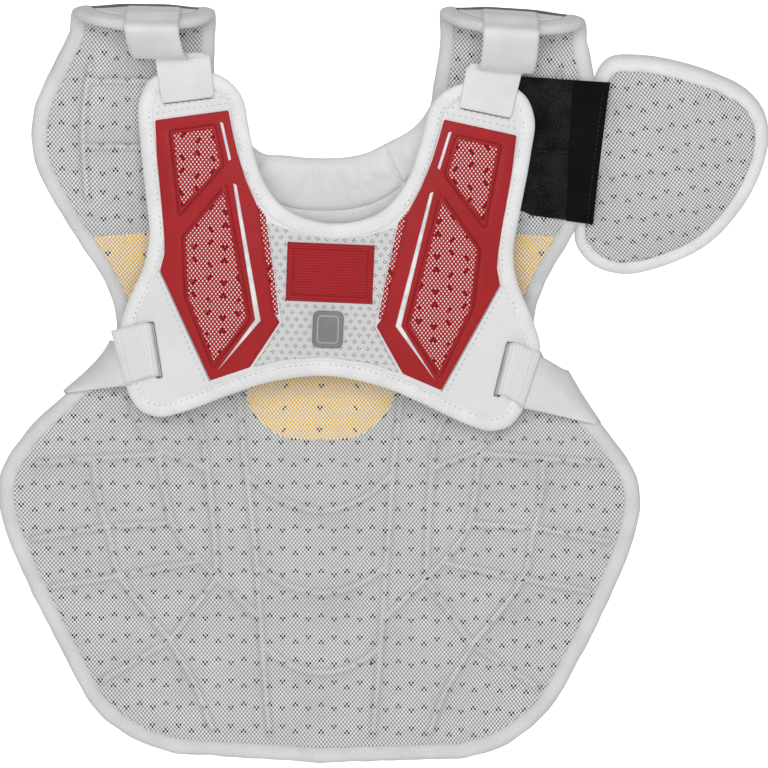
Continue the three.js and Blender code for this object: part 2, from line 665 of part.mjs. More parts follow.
// Flat plate laid on the spacer mesh at height b, leaning as the harness leans there.
function layOnSpacer(geometry, b) {
  const slope = -HARNESS_LEAN + 2 * HARNESS_ARCH * b;
  geometry.rotateX(Math.PI / 2 - Math.atan(slope));
  const lift = GAP + SPACER_THICK + TRIM_LIFT;
  return geometry.translate(0, harnessDepth(0, b) - lift / Math.cos(Math.atan(slope)), b);
}

function buildLabelAndPatch() {
  const options = (depth) => ({ depth, bevelEnabled: false, curveSegments: 3 });
  const label = new THREE.ExtrudeGeometry(
    roundedRectangle(LABEL.width, LABEL.height, LABEL.corner), options(LABEL.thick));
  place(harness, "label", layOnSpacer(label, LABEL.b), FINISH.red);
  const { width, height, corner, rim, thick, rimHeight } = RUBBER_PATCH;
  const base = new THREE.ExtrudeGeometry(roundedRectangle(width, height, corner), options(thick + rimHeight));
  const sunk = new THREE.ExtrudeGeometry(
    roundedRectangle(width - 2 * rim, height - 2 * rim, corner - rim), options(2 * rimHeight));
  const patch = toGeometry(toSolid(base).subtract(toSolid(sunk.translate(0, 0, thick))));
  place(harness, "rubber_patch", layOnSpacer(patch, RUBBER_PATCH.b), FINISH.grey);
}

// Straps

const sided = (side, points) => points.map(([a, b]) => [side * a, b]);
const worldHarness = (p, lift) => onHarness(p, lift).applyAxisAngle(new THREE.Vector3(0, 1, 0), HARNESS_TURN)
  .add(HARNESS_AT);
const ordered = (side, [inner, outer]) => (side > 0 ? [inner, outer] : [outer, inner]);

function buildShoulderStraps() {
  for (const { side, tongueX } of SHOULDER_STRAPS) {
    const name = side > 0 ? "right" : "left";
    const tabTop = sided(side, TAB.top);
    const tabBottom = sided(side, TAB.bottom);
    const tabLines = [tabTop, tabBottom].map((line) => ordered(side, line.map((p) => onHarness(p, TAB.lift))));
    place(harness, `strap_tab_${name}`, ribbon(tabLines, STRAP_THICK), FINISH.white);
    const edge = (u) => tongueX + u * (WEBBING / 2);
    const line = (v, t) => ordered(side, [edge(-1), edge(1)].map((x) => {
      const p = new THREE.Vector2(x, v);
      return onChest(side, p, t ?? padThickness(p) + STRAP_LIFT);
    }));
    const tip = line(STRAP_TIP.v, STRAP_TIP.t);
    const stop = ordered(side, tabTop.map((p) => worldHarness(p, TAB.lift).add(STRAP_STOP)));
    const slack = STRAP_SLACK.map(([share, back, sag]) =>
      tip.map((p, i) => p.clone().lerp(stop[i], share).add(new THREE.Vector3(0, -back, -sag))));
    const sewn = STRAP_SEWN.map((v) => line(v));
    const lines = [...sewn, line(STRAP_EDGE.v, STRAP_EDGE.t), tip, ...slack];
    place(chestProtector, `shoulder_strap_${name}`, ribbon(lines, STRAP_THICK), FINISH.white);
  }
}

// Outer seam of the torso at height z, with its outward direction.
function edgeAt(z) {
  const torso = rows.slice(0, neckRow + 1).map(([, outer]) => outer);
  const i = torso.findIndex((p, k) => k > 6 && p.y > z);
  const u = (z - torso[i - 1].y) / (torso[i].y - torso[i - 1].y);
  const along = torso[i].clone().sub(torso[i - 1]).normalize();
  return { p: torso[i - 1].clone().lerp(torso[i], u), out: new THREE.Vector2(along.y, -along.x) };
}

// Wrap of a side strap round the panel's edge: [outward share, level], back to front.
const FOLD = [
  [BINDING_WIDTH - 3, -4.6], [BINDING_WIDTH + 1.6, -1.6], [BINDING_WIDTH + 2.8, PAD_EDGE / 2],
  [BINDING_WIDTH + 1.2, PAD_EDGE + 2.2], [0, PAD_EDGE + 4.5],
];

function buildSideStraps() {
  for (const { side, upper, lower } of SIDE_FOLDS) {
    const name = side > 0 ? "right" : "left";
    const at = (line, lift) => ordered(side, sided(side, line).map((p) => onHarness(p, lift))).reverse();
    const shift = ([p, q], da) => [[p[0] + da, p[1]], [q[0] + da, q[1]]];
    const slot = [SLOT.top, SLOT.bottom];
    const elastic = ELASTIC_PATH.map(([along, lift]) => at(shift(slot, along), lift));
    elastic.push(at(ELASTIC_SEAM, ELASTIC_SEAM_LIFT));
    place(harness, `side_elastic_${name}`, ribbon(elastic, STRAP_THICK), FINISH.white);
    const ends = [edgeAt(upper), edgeAt(lower)];
    const wrap = (out, t) => ends.map(({ p, out: o }) => {
      const q = p.clone().addScaledVector(o, out);
      return onChest(side, q, t ?? padThickness(q) + FOLD_LIFT);
    });
    const sewnTo = sided(side, shift(ELASTIC_SEAM, SEAM_GAP));
    const seamLine = sewnTo.map((p) => worldHarness(p, ELASTIC_SEAM_LIFT));
    const fold = [...FOLD.map(([out, t]) => wrap(out, t)), wrap(-0.5 * FOLD_TAIL), wrap(-FOLD_TAIL)];
    const middle = seamLine.map((p, i) => p.clone().lerp(fold[0][i], 0.5));
    const lines = [seamLine, middle, ...fold].map((line) => (side > 0 ? [line[1], line[0]] : line));
    place(chestProtector, `side_strap_${name}`, ribbon(lines, STRAP_THICK), FINISH.white);
  }
}

// Arm guard

const guardDepth = (u, w) => GUARD_DISH * (u * u + w * w);

function buildArmGuard() {
  const edge = smoothPath(GUARD_EDGE, true).getSpacedPoints(GUARD_STATIONS).slice(1).map(flat).reverse();
  const out = outwards(edge, true);
  const inset = offset(edge, out, -BINDING_WIDTH);
  const pad = sheet(guardDepth, GUARD_GRID, inset, [], 0, GUARD_THICK);
  place(armGuard, "arm_guard_pad", pad, FINISH.lining);
  const sections = edge.map((p, i) =>
    beadSection(BINDING_WIDTH, GUARD_THICK).map(([o, t]) => {
      const q = p.clone().addScaledVector(out[i], o - BINDING_WIDTH);
      return new THREE.Vector3(q.x, guardDepth(q.x, q.y) + t, q.y);
    }));
  place(armGuard, "arm_guard_binding", loft(sections, true), FINISH.white);
}

// Black layer laid over the right wing's lining between two lines of [x, v], at a level off the lining.
function wingLayer({ top, bottom }, lift) {
  const grid = (t) => [0, 0.25, 0.5, 0.75, 1].map((down) => [0, 0.35, 0.7, 1].map((right) => {
    const upper = point2(top[0]).lerp(point2(top[1]), right);
    const lower = point2(bottom[0]).lerp(point2(bottom[1]), right);
    const p = upper.lerp(lower, down);
    return chestPoint(p.x, p.y, t);
  }));
  return slab(grid(-lift - STRAP_THICK), grid(-lift));
}

function buildGuardStrap() {
  place(chestProtector, "arm_guard_strap", wingLayer(GUARD_STRAP, GUARD_STRAP_LIFT), FINISH.black);
  const tabLift = GUARD_STRAP_LIFT + STRAP_THICK + GAP;
  place(chestProtector, "arm_guard_tab", wingLayer(GUARD_TAB, tabLift), FINISH.black);
}

buildChestPad();
buildChestBinding();
buildCollar();
buildShoulderPatches();
buildHarnessPlate();
buildOverlays();
buildLabelAndPatch();
buildShoulderStraps();
buildSideStraps();
buildArmGuard();
buildGuardStrap();

export default chestProtector;
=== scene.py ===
"""Catcher's chest protector: cloth, mesh, leather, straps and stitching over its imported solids.

All sizes are in millimetres until a mesh is made, in the frame of the solids:
+X is the wearer's right, +Y the wearer's front and +Z up, with the origin between the shoulders.
"""
import logging
import math
from dataclasses import dataclass, field
from enum import Enum
from typing import Callable, Sequence

import bmesh
import bpy
import numpy as np
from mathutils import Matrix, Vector
from mathutils.geometry import delaunay_2d_cdt


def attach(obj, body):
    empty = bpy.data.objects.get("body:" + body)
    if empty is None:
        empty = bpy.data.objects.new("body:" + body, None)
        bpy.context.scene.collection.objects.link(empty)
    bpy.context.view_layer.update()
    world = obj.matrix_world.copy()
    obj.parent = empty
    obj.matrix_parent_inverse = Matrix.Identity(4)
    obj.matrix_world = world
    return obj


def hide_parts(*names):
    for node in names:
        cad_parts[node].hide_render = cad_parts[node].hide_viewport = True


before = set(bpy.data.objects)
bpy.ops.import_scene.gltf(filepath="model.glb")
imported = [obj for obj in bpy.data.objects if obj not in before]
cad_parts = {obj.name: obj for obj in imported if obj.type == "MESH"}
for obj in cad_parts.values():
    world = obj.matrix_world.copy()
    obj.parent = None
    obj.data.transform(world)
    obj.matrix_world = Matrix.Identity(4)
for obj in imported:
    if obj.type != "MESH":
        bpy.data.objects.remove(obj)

MM = 0.001
PATTERN = "pattern"
BODY = "root"
LOG = logging.getLogger("chest_protector")

# Distance under which points of a mesh join, and share of its thickness that a laid piece keeps at its rim
MERGED = 0.001
RIM_SHARE = 0.35

# Simulated cloth: inner pressure, share by which it is cut larger than its seams, frames until it settles
PRESSURE = 4.0
SPARE = 0.01
SETTLE_FRAMES = 20

# Straps: points across, and distance between points along
RIBBON_COLUMNS = 15
RIBBON_STEP = 1.6

Array = np.ndarray
Points = Sequence[Sequence[float]]
Colour = tuple[float, float, float, float]
Level = Callable[[Array], Array]
Lay = Callable[[Array, Array], Array]
Material = bpy.types.Material
Piece = bpy.types.Object
Socket = bpy.types.NodeSocket
Tree = bpy.types.NodeTree


class Side(Enum):
    """The wearer's left or right, as the sign of X."""

    LEFT = -1
    RIGHT = 1

    @property
    def word(self) -> str:
        """Name of the side as the nodes spell it."""
        return self.name.lower()

    def at(self, pair: Sequence) -> object:
        """This side's value of a left and a right one."""
        return pair[self is Side.RIGHT]

    def put(self, points: Array) -> Array:
        """Points of the right half on this side, in the same order."""
        return np.asarray(points, float) * [self.value, 1]


def srgb(red: float, green: float, blue: float) -> Colour:
    """Linear colour, with full alpha, of display values from 0 to 255."""
    def linear(value: float) -> float:
        """Linear value of one channel."""
        share = value / 255
        return share / 12.92 if share <= 0.04045 else ((share + 0.055) / 1.055) ** 2.4
    return (linear(red), linear(green), linear(blue), 1.0)


def grey(value: float) -> Colour:
    """Linear grey of a display value."""
    return srgb(value, value, value)


def ease(x: Array, low: float, high: float) -> Array:
    """Smooth step from 0 at low to 1 at high."""
    t = np.clip((np.asarray(x, float) - low) / (high - low), 0, 1)
    return t * t * (3 - 2 * t)


def bell(x: Array, middle: float, reach: float) -> Array:
    """Bell curve of height 1 about a middle."""
    return np.exp(-(((np.asarray(x, float) - middle) / reach) ** 2))


def hump(x: Array, shape: tuple[float, float, float]) -> Array:
    """Bell curve of a height, a middle and a reach."""
    return shape[0] * bell(x, *shape[1:])


def ripple(p: Array, wavelength: float, seed: int) -> Array:
    """Gentle unevenness of points, about -1 to 1, from a few plane waves that the seed fixes."""
    rng = np.random.default_rng(seed)
    total = np.zeros(len(p))
    waves = 7
    for _ in range(waves):
        direction = rng.normal(size=p.shape[1])
        direction *= 2 * math.pi / (wavelength * rng.uniform(0.6, 1.6) * np.linalg.norm(direction))
        total += np.sin(p @ direction + rng.uniform(0, 2 * math.pi))
    return total / math.sqrt(waves)


# Plane outlines


def mirrored(points: Points) -> Array:
    """The same outline on the other side of the middle, turned the same way round."""
    flipped = np.array(points, float)[::-1]
    flipped[:, 0] *= -1
    return flipped


def sided(side: Side, points: Points) -> Array:
    """A right-hand outline on the given side."""
    return np.array(points, float) if side is Side.RIGHT else mirrored(points)


def catmull(points: Array, closed: bool, fine: int = 24) -> Array:
    """Smooth curve through points, with centripetal spacing.

    Args:
        points: points in any number of dimensions.
        closed: whether the curve returns to its start.
        fine: samples for each span.
    Returns:
        The samples, without the start repeated where the curve is closed.
    """
    p = np.array(points, float)
    if closed:
        ring = np.vstack([p[-1:], p, p[:2]])
    else:
        ring = np.vstack([2 * p[:1] - p[1:2], p, 2 * p[-1:] - p[-2:-1]])
    out = []
    for i in range(len(ring) - 3):
        p0, p1, p2, p3 = ring[i:i + 4]
        d0, d1, d2 = (max(np.linalg.norm(b - a), 1e-6) ** 0.5 for a, b in ((p0, p1), (p1, p2), (p2, p3)))
        t1 = ((p1 - p0) / d0 - (p2 - p0) / (d0 + d1) + (p2 - p1) / d1) * d1
        t2 = ((p2 - p1) / d1 - (p3 - p1) / (d1 + d2) + (p3 - p2) / d2) * d1
        t = np.linspace(0, 1, fine, endpoint=False)[:, None]
        out.append((2 * t**3 - 3 * t**2 + 1) * p1 + (t**3 - 2 * t**2 + t) * t1
                   + (-2 * t**3 + 3 * t**2) * p2 + (t**3 - t**2) * t2)
    if not closed:
        out.append(p[-1:])
    return np.vstack(out)


def travelled(line: Array) -> Array:
    """Distance along a line at each of its points."""
    return np.concatenate([[0], np.cumsum(np.linalg.norm(np.diff(line, axis=0), axis=1))])


def spaced(line: Array, closed: bool, count: int) -> Array:
    """Points at equal distances along a line; a closed one doesn't repeat its start."""
    path = np.vstack([line, line[:1]]) if closed else np.asarray(line, float)
    along = travelled(path)
    wanted = np.linspace(0, along[-1], count, endpoint=not closed)
    return np.stack([np.interp(wanted, along, path[:, k]) for k in range(path.shape[1])], axis=1)


def between(a: Sequence[float], b: Sequence[float], count: int, low: float = 0.0, high: float = 1.0) -> Array:
    """Points of a straight row, from one share of the way between two points to another."""
    a, b = np.asarray(a, float), np.asarray(b, float)
    return a + (b - a) * np.linspace(low, high, count)[:, None]


def outward(line: Array, closed: bool) -> Array:
    """Directions to the right of a plane line, square to it."""
    if closed:
        along = np.roll(line, -1, axis=0) - np.roll(line, 1, axis=0)
    else:
        along = np.gradient(line, axis=0)
    along = along / np.maximum(np.linalg.norm(along, axis=1, keepdims=True), 1e-9)
    return np.stack([along[:, 1], -along[:, 0]], axis=1)


def doubled_area(outline: Array) -> float:
    """Twice the area of an outline, above 0 where its inside lies on the left."""
    x, y = outline[:, 0], outline[:, 1]
    return np.sum(x * np.roll(y, -1) - np.roll(x, -1) * y)


def anticlockwise(outline: Array) -> Array:
    """The outline turned so that its inside lies on the left."""
    return outline if doubled_area(outline) > 0 else outline[::-1]


def rounded(corners: Points, radius: float, steps: int = 4) -> Array:
    """Polygon with its corners rounded off."""
    p = anticlockwise(np.array(corners, float))
    out = []
    for i, corner in enumerate(p):
        back, ahead = p[i - 1] - corner, p[(i + 1) % len(p)] - corner
        lengths = np.linalg.norm(back), np.linalg.norm(ahead)
        reach = min(radius, 0.45 * lengths[0], 0.45 * lengths[1])
        start, end = corner + back / lengths[0] * reach, corner + ahead / lengths[1] * reach
        for t in np.linspace(0, 1, steps + 1):
            out.append((1 - t) ** 2 * start + 2 * t * (1 - t) * corner + t * t * end)
    return np.array(out)


def mitred(corners: Array, distance: float) -> Array:
    """Polygon grown by a distance, with its corners kept."""
    p = anticlockwise(np.asarray(corners, float))
    out = []
    for i, corner in enumerate(p):
        first, second = corner - p[i - 1], p[(i + 1) % len(p)] - corner
        n1, n2 = (np.array([d[1], -d[0]]) / np.linalg.norm(d) for d in (first, second))
        out.append(corner + (n1 + n2) * distance / max(0.3, 1 + n1 @ n2))
    return np.array(out)


def densified(outline: Array, spacing: float) -> Array:
    """Closed outline with its long edges divided."""
    out = []
    for a, b in zip(outline, np.roll(outline, -1, axis=0)):
        count = max(1, int(math.ceil(np.linalg.norm(b - a) / spacing)))
        out.append(a + (b - a) * np.linspace(0, 1, count, endpoint=False)[:, None])
    return np.vstack(out)


def line_distance(p: Array, line: Array, closed: bool = False) -> Array:
    """Distance of each point from a plane line."""
    ends = np.roll(line, -1, axis=0) if closed else line[1:]
    starts = line if closed else line[:-1]
    best = np.full(len(p), 1e9)
    for a, b in zip(starts, ends):
        d = b - a
        t = np.clip(((p - a) @ d) / max(d @ d, 1e-12), 0, 1)
        best = np.minimum(best, np.hypot(*(p - a - t[:, None] * d).T))
    return best


def inside(p: Array, outline: Array) -> Array:
    """Whether each point lies inside a closed outline."""
    odd = np.zeros(len(p), bool)
    for a, b in zip(outline, np.roll(outline, -1, axis=0)):
        crosses = (a[1] > p[:, 1]) != (b[1] > p[:, 1])
        with np.errstate(divide="ignore", invalid="ignore"):
            at = (b[0] - a[0]) * (p[:, 1] - a[1]) / (b[1] - a[1]) + a[0]
        odd ^= crosses & (p[:, 0] < at)
    return odd


# Meshes


def put_in_scene(name: str, data: bpy.types.ID) -> Piece:
    """New object at the origin, in the scene."""
    made = bpy.data.objects.new(name, data)
    bpy.context.scene.collection.objects.link(made)
    return made


def mark_pattern(mesh: bpy.types.Mesh, places: Array) -> None:
    """Writes each point's pattern place into the mesh's own UV map."""
    layer = mesh.uv_layers.new(name=PATTERN)
    corner = np.zeros(len(mesh.loops), np.int32)
    mesh.loops.foreach_get("vertex_index", corner)
    layer.data.foreach_set("uv", places[corner].ravel())


@dataclass
class Shell:
    """Points and faces that grow into one mesh, with a pattern place for each point."""

    points: list[Array] = field(default_factory=list)
    pattern: list[Array] = field(default_factory=list)
    sewn: list[Array] = field(default_factory=list)
    faces: list[tuple[int, ...]] = field(default_factory=list)
    finish: list[int] = field(default_factory=list)
    count: int = 0

    def add(self, points: Array, pattern: Array, sewn: Array | None = None) -> int:
        """Adds points, with marks of how near a seam they lie (a thread line above 0, painted shade beside it
        below 0), and returns the number of the first.
        """
        first = self.count
        self.points.append(np.asarray(points, float).reshape(-1, 3))
        self.pattern.append(np.asarray(pattern, float).reshape(-1, 2))
        size = len(self.points[-1])
        self.sewn.append(np.zeros(size) if sewn is None else np.asarray(sewn, float))
        self.count += size
        return first

    def face(self, corners: Sequence[int], finish: int = 0) -> None:
        """Adds one face."""
        self.faces.append(tuple(int(c) for c in corners))
        self.finish.append(finish)

    def grid(self, first: int, rows: int, columns: int, finish: int = 0, turned: bool = False,
             ring: bool = False, tube: bool = False) -> None:
        """Adds the faces of a grid of points.

        Args:
            first: number of its first point.
            rows, columns: its size.
            finish: material number.
            turned: whether its faces turn the other way.
            ring: whether the last row joins the first.
            tube: whether the last column joins the first.
        """
        for r in range(rows if ring else rows - 1):
            for c in range(columns if tube else columns - 1):
                r2, c2 = (r + 1) % rows, (c + 1) % columns
                quad = [first + r * columns + c, first + r * columns + c2,
                        first + r2 * columns + c2, first + r2 * columns + c]
                self.face(quad[::-1] if turned else quad, finish)

    def slab(self, upper: Array, lower: Array, pattern: Array, rows: int, columns: int) -> None:
        """Adds two grids of points and the rim that joins them."""
        near, far = self.add(upper, pattern), self.add(lower, pattern)
        self.grid(near, rows, columns)
        self.grid(far, rows, columns, turned=True)
        rim = list(range(columns - 1)) + [(r + 1) * columns - 1 for r in range(rows - 1)]
        rim += [(rows - 1) * columns + c for c in range(columns - 1, 0, -1)]
        rim += [r * columns for r in range(rows - 1, 0, -1)]
        for a, b in zip(rim, rim[1:] + rim[:1]):
            self.face([near + b, near + a, far + a, far + b])

    def caps(self, first: int, rows: int, columns: int) -> None:
        """Closes both ends of a tube of points."""
        last = first + (rows - 1) * columns
        self.face(range(first, first + columns))
        self.face(range(last + columns - 1, last - 1, -1))

    def build(self, name: str, *materials: Material) -> Piece:
        """Makes the object, with its faces outwards.

        Args:
            name: name of the piece.
            materials: its materials, in the order of the face numbers.
        Returns:
            The new object, at the origin.
        """
        mesh = bpy.data.meshes.new(name)
        mesh.from_pydata((np.vstack(self.points) * MM).tolist(), [], self.faces)
        for material in materials:
            mesh.materials.append(material)
        mesh.polygons.foreach_set("material_index", self.finish)
        mark_pattern(mesh, np.vstack(self.pattern) * MM)
        # The seam marks go to the shader as the sewn attribute: a closed-mesh thread line and painted shade
        # beside each channel
        if any(s.any() for s in self.sewn):
            near = mesh.attributes.new("sewn", "FLOAT", "POINT")
            near.data.foreach_set("value", np.concatenate(self.sewn))
        work = bmesh.new()
        work.from_mesh(mesh)
        bmesh.ops.remove_doubles(work, verts=work.verts, dist=MERGED * MM)
        bmesh.ops.recalc_face_normals(work, faces=work.faces)
        work.to_mesh(mesh)
        work.free()
        mesh.shade_smooth()
        return put_in_scene(name, mesh)


def settle(piece: Piece, slot: str, *nodes: str) -> Piece:
    """Puts a finished piece on its body and hides the solids that it stands for."""
    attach(piece, BODY)
    if nodes:
        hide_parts(*nodes)
    LOG.info("%s: %d faces", piece.name, len(piece.data.polygons))
    return piece


def swollen(points: Array, faces: Sequence[Sequence[int]], sewn: Array, cap: float) -> Array:
    """Lets cloth swell by simulation between the points where it is sewn down.

    Args:
        points: its points before it swells.
        faces: its faces, turned to the side that swells.
        sewn: which points are held.
        cap: the most that a point may move.
    Returns:
        The points once the cloth has settled.
    """
    scene = bpy.context.scene
    mesh = bpy.data.meshes.new("cloth_work")
    mesh.from_pydata((points * MM).tolist(), [], [tuple(int(i) for i in face) for face in faces])
    work = put_in_scene("cloth_work", mesh)
    group = work.vertex_groups.new(name="sewn")
    group.add([int(i) for i in np.flatnonzero(sewn)], 1.0, "REPLACE")
    settings = work.modifiers.new("cloth", "CLOTH").settings
    settings.vertex_group_mass = group.name
    settings.effector_weights.gravity = 0
    settings.use_pressure = True
    settings.uniform_pressure_force = PRESSURE
    settings.shrink_min = -SPARE
    for number in range(SETTLE_FRAMES):
        scene.frame_set(number + 1)
    moved = np.zeros(points.size)
    work.evaluated_get(bpy.context.evaluated_depsgraph_get()).data.vertices.foreach_get("co", moved)
    bpy.data.objects.remove(work)
    bpy.data.meshes.remove(mesh)
    scene.frame_set(1)
    move = moved.reshape(-1, 3) / MM - points
    far = np.linalg.norm(move, axis=1, keepdims=True)
    LOG.info("cloth settled: moved %.1f mm at most", far.max())
    return points + move * np.minimum(1, cap / np.maximum(far, 1e-9))


@dataclass
class Cut:
    """Plane piece of material, divided into triangles."""

    outline: Array
    holes: list[Array] = field(default_factory=list)
    spacing: float = 4.0
    insets: tuple[float, ...] = (0.5, 1.2)

    def divide(self) -> tuple[Array, list[tuple[int, ...]], list[tuple[int, int]], Array]:
        """Triangulates the piece.

        Returns:
            Its points, triangles, rim edges and each point's distance from the rim.
        """
        loops = [densified(anticlockwise(self.outline), self.spacing)]
        loops += [densified(anticlockwise(h), self.spacing) for h in self.holes]
        points, edges = [], []
        for loop in loops:
            first = sum(len(x) for x in points)
            points.append(loop)
            edges += [(first + i, first + (i + 1) % len(loop)) for i in range(len(loop))]
        low, high = loops[0].min(0), loops[0].max(0)
        extra = []
        for distance in self.insets:
            for k, loop in enumerate(loops):
                extra.append((loop + outward(loop, True) * (distance if k else -distance), 0.8 * distance))
        steps = [np.arange(low[k] + 0.5 * self.spacing, high[k], self.spacing) for k in (0, 1)]
        mesh = np.stack(np.meshgrid(*steps), -1).reshape(-1, 2)
        extra.append((mesh, max(self.insets, default=0) + 0.4 * self.spacing))
        for more, clear in extra:
            kept = inside(more, loops[0])
            for hole in loops[1:]:
                kept &= ~inside(more, hole)
            more = more[kept]
            far = np.min([line_distance(more, loop, True) for loop in loops], axis=0)
            points.append(more[far > clear])
        found = delaunay_2d_cdt([Vector(p) for p in np.vstack(points)], edges, [], 1, 1e-4)
        flat = np.array([tuple(p) for p in found[0]])
        middles = flat[np.array([tuple(t) for t in found[2]])].mean(axis=1)
        kept = inside(middles, loops[0])
        for hole in loops[1:]:
            kept &= ~inside(middles, hole)
        triangles = [tuple(t) for t, keep in zip(found[2], kept) if keep]
        seen: dict[tuple[int, int], int] = {}
        for t in triangles:
            for i in range(3):
                edge = (t[i], t[(i + 1) % 3])
                seen[edge] = seen.get(edge, 0) + 1
        rim = [e for e in seen if (e[1], e[0]) not in seen]
        distance = np.min([line_distance(flat, loop, True) for loop in loops], axis=0)
        return flat, triangles, rim, distance

    def build(self, name: str, lay: Lay, lift: float, thick: float, material: Material, slot: str,
              node: str, crown: float = 0.8, relief: Level | None = None, on: str = "",
              fill: float = 0.0) -> Piece:
        """Makes the piece as a thin solid laid on a surface.

        Args:
            name: name of the piece.
            lay: gives places in space for plane points and levels.
            lift: level of its underside.
            thick: its thickness.
            material: its finish.
            slot: not used.
            node: solid that it stands for.
            crown: distance over which its edge rounds off.
            relief: extra level of its upper side.
            on: solid that it lies on, where it is a sheet of cloth.
            fill: fill of its padding, where its upper side swells as cloth.
        Returns:
            The new object.
        """
        flat, triangles, rim, distance = self.divide()
        edge = np.sqrt(np.clip(1 - (1 - np.clip(distance / crown, 0, 1)) ** 2, 0, 1))
        top = lift + thick * (RIM_SHARE + (1 - RIM_SHARE) * edge)
        places = lay(flat, top + (relief(flat) if relief else 0))
        if fill:
            places = swollen(places, triangles, distance < 2, 5)
        shell = Shell()
        upper = shell.add(places, flat)
        lower = shell.add(lay(flat, np.full(len(flat), lift)), flat)
        for t in triangles:
            shell.face([upper + i for i in t])
            shell.face([lower + i for i in reversed(t)])
        for a, b in rim:
            shell.face([upper + b, upper + a, lower + a, lower + b])
        piece = shell.build(name, material)
        if on:
            self.sheet()
        return settle(piece, slot, node)

    def sheet(self) -> None:
        """Works out the widths of a piece cut to this shape at turns of 3 degrees, and its area, and keeps
        neither.
        """
        for turn in np.radians(np.arange(0, 90, 3)):
            c, s = math.cos(turn), math.sin(turn)
            [np.ptp(self.outline @ np.array(axis)) for axis in ((c, s), (-s, c))]
        areas = [abs(doubled_area(p)) / 2 for p in (self.outline, *self.holes)]
        areas[0] - sum(areas[1:])


def swept(name: str, line: Array, out: Array, section: Points, closed: bool, lay: Lay,
          material: Material, slot: str, *nodes: str, pucker: float = 0.0, seed: int = 1) -> None:
    """Makes an edge binding by carrying a section along a seam.

    Args:
        name: name of the piece.
        line: seam, as plane points.
        out: outward directions along it.
        section: closed section as (distance outwards, level).
        closed: whether the seam is a ring.
        lay: gives places in space for plane points and levels.
        material: its finish.
        slot: not used.
        nodes: solids that it stands for.
        pucker: unevenness of the tape.
        seed: number that fixes the unevenness.
    """
    shape = spaced(catmull(np.array(section, float), True, 6), True, 22)
    n, k = len(line), len(shape)
    middle = shape.mean(axis=0)
    along, around = travelled(line), travelled(shape)
    wave = ripple(np.stack([along, 0 * along], 1), 14, seed)
    swell = 1 + pucker * 0.12 * wave
    flat = np.zeros((n, k, 2))
    level = np.zeros((n, k))
    for j, (distance, height) in enumerate(shape):
        flat[:, j] = line + out * (distance * (1 + pucker * 0.05 * wave))[:, None]
        level[:, j] = middle[1] + (height - middle[1]) * swell
    pattern = np.stack(np.meshgrid(along, around, indexing="ij"), -1)
    shell = Shell()
    first = shell.add(lay(flat.reshape(-1, 2), level.ravel()), pattern)
    shell.grid(first, n, k, ring=closed, tube=True)
    if not closed:
        shell.caps(first, n, k)
    settle(shell.build(name, material), slot, *nodes)


def ribbon(node: str, lines: Array, thick: float, material: Material,
           slot: str) -> None:
    """Args:
        node: solid that it stands for, whose name it takes.
        lines: cross lines, each of a left, a middle and a right point.
        thick: its thickness, on the far side of the lines.
        material: its finish.
        slot: not used.
    """
    paths = [catmull(lines[:, k], False) for k in range(3)]
    count = max(8, int(travelled(paths[1])[-1] / RIBBON_STEP))
    left, middle, right = np.split(spaced(np.hstack(paths), False, count), 3, axis=1)
    normal = np.cross(np.gradient(middle, axis=0), right - left)
    normal /= np.linalg.norm(normal, axis=1, keepdims=True)
    u = np.linspace(0, 1, RIBBON_COLUMNS)
    width = np.linalg.norm(right - left, axis=1).mean()
    edge = np.clip(np.minimum(u, 1 - u) * width / (0.8 * thick), 0, 1)
    half = 0.5 * thick * np.sqrt(1 - 0.85 * (1 - edge) ** 2)
    shares = ((1 - u) * (1 - 2 * u), 4 * u * (1 - u), u * (2 * u - 1))
    base = sum(path[:, None] * share[None, :, None] for path, share in zip((left, middle, right), shares))
    centre = base + normal[:, None] * (0.5 * thick)
    far = travelled(middle)
    pattern = np.stack(np.meshgrid(far, u * width, indexing="ij"), -1)
    shell = Shell()
    rise = normal[:, None] * half[None, :, None]
    shell.slab(centre + rise, centre - rise, pattern, count, RIBBON_COLUMNS)
    piece = shell.build(node + "_webbing", material)
    settle(piece, slot, node)


def halved(lines: Array) -> Array:
    """Cross lines of two points with their middles put in."""
    lines = np.asarray(lines, float)
    return np.stack([lines[:, 0], lines.mean(axis=1), lines[:, 1]], axis=1)


# Node trees


class Graph:
    """Adds and joins the nodes of one tree."""

    def __init__(self, tree: Tree) -> None:
        """Takes the tree that the nodes go into."""
        self.tree = tree

    def node(self, kind: str, inputs: dict | None = None, **settings: object) -> bpy.types.Node:
        """Adds a node.

        Args:
            kind: its type.
            inputs: sockets or plain values for its inputs, by name or number.
            settings: its properties.
        Returns:
            The node.
        """
        made = self.tree.nodes.new(kind)
        for key, value in settings.items():
            setattr(made, key, value)
        for key, value in (inputs or {}).items():
            if isinstance(value, Socket):
                self.tree.links.new(value, made.inputs[key])
            else:
                made.inputs[key].default_value = value
        return made

    def math(self, operation: str, first: object, second: object = 0.0) -> Socket:
        """Result of one sum on one or two values."""
        return self.node("ShaderNodeMath", {0: first, 1: second}, operation=operation).outputs[0]

    def smooth(self, value: object, low: object, high: object) -> Socket:
        """Smooth step of a value from low to high."""
        inputs = {"Value": value, "From Min": low, "From Max": high}
        return self.node("ShaderNodeMapRange", inputs, interpolation_type="SMOOTHSTEP").outputs["Result"]

    def mix(self, share: object, first: object, second: object, blend: str = "MIX") -> Socket:
        """Colour between two colours."""
        inputs = {0: share, 6: first, 7: second}
        return self.node("ShaderNodeMix", inputs, data_type="RGBA", blend_type=blend).outputs[2]

    def place(self) -> Socket:
        """The piece's own pattern place, in metres."""
        return self.node("ShaderNodeUVMap", uv_map=PATTERN).outputs["UV"]

    def group(self, tree: Tree, inputs: dict) -> bpy.types.bpy_prop_collection:
        """Adds a shared group and returns its outputs."""
        return self.node("ShaderNodeGroup", inputs, node_tree=tree).outputs


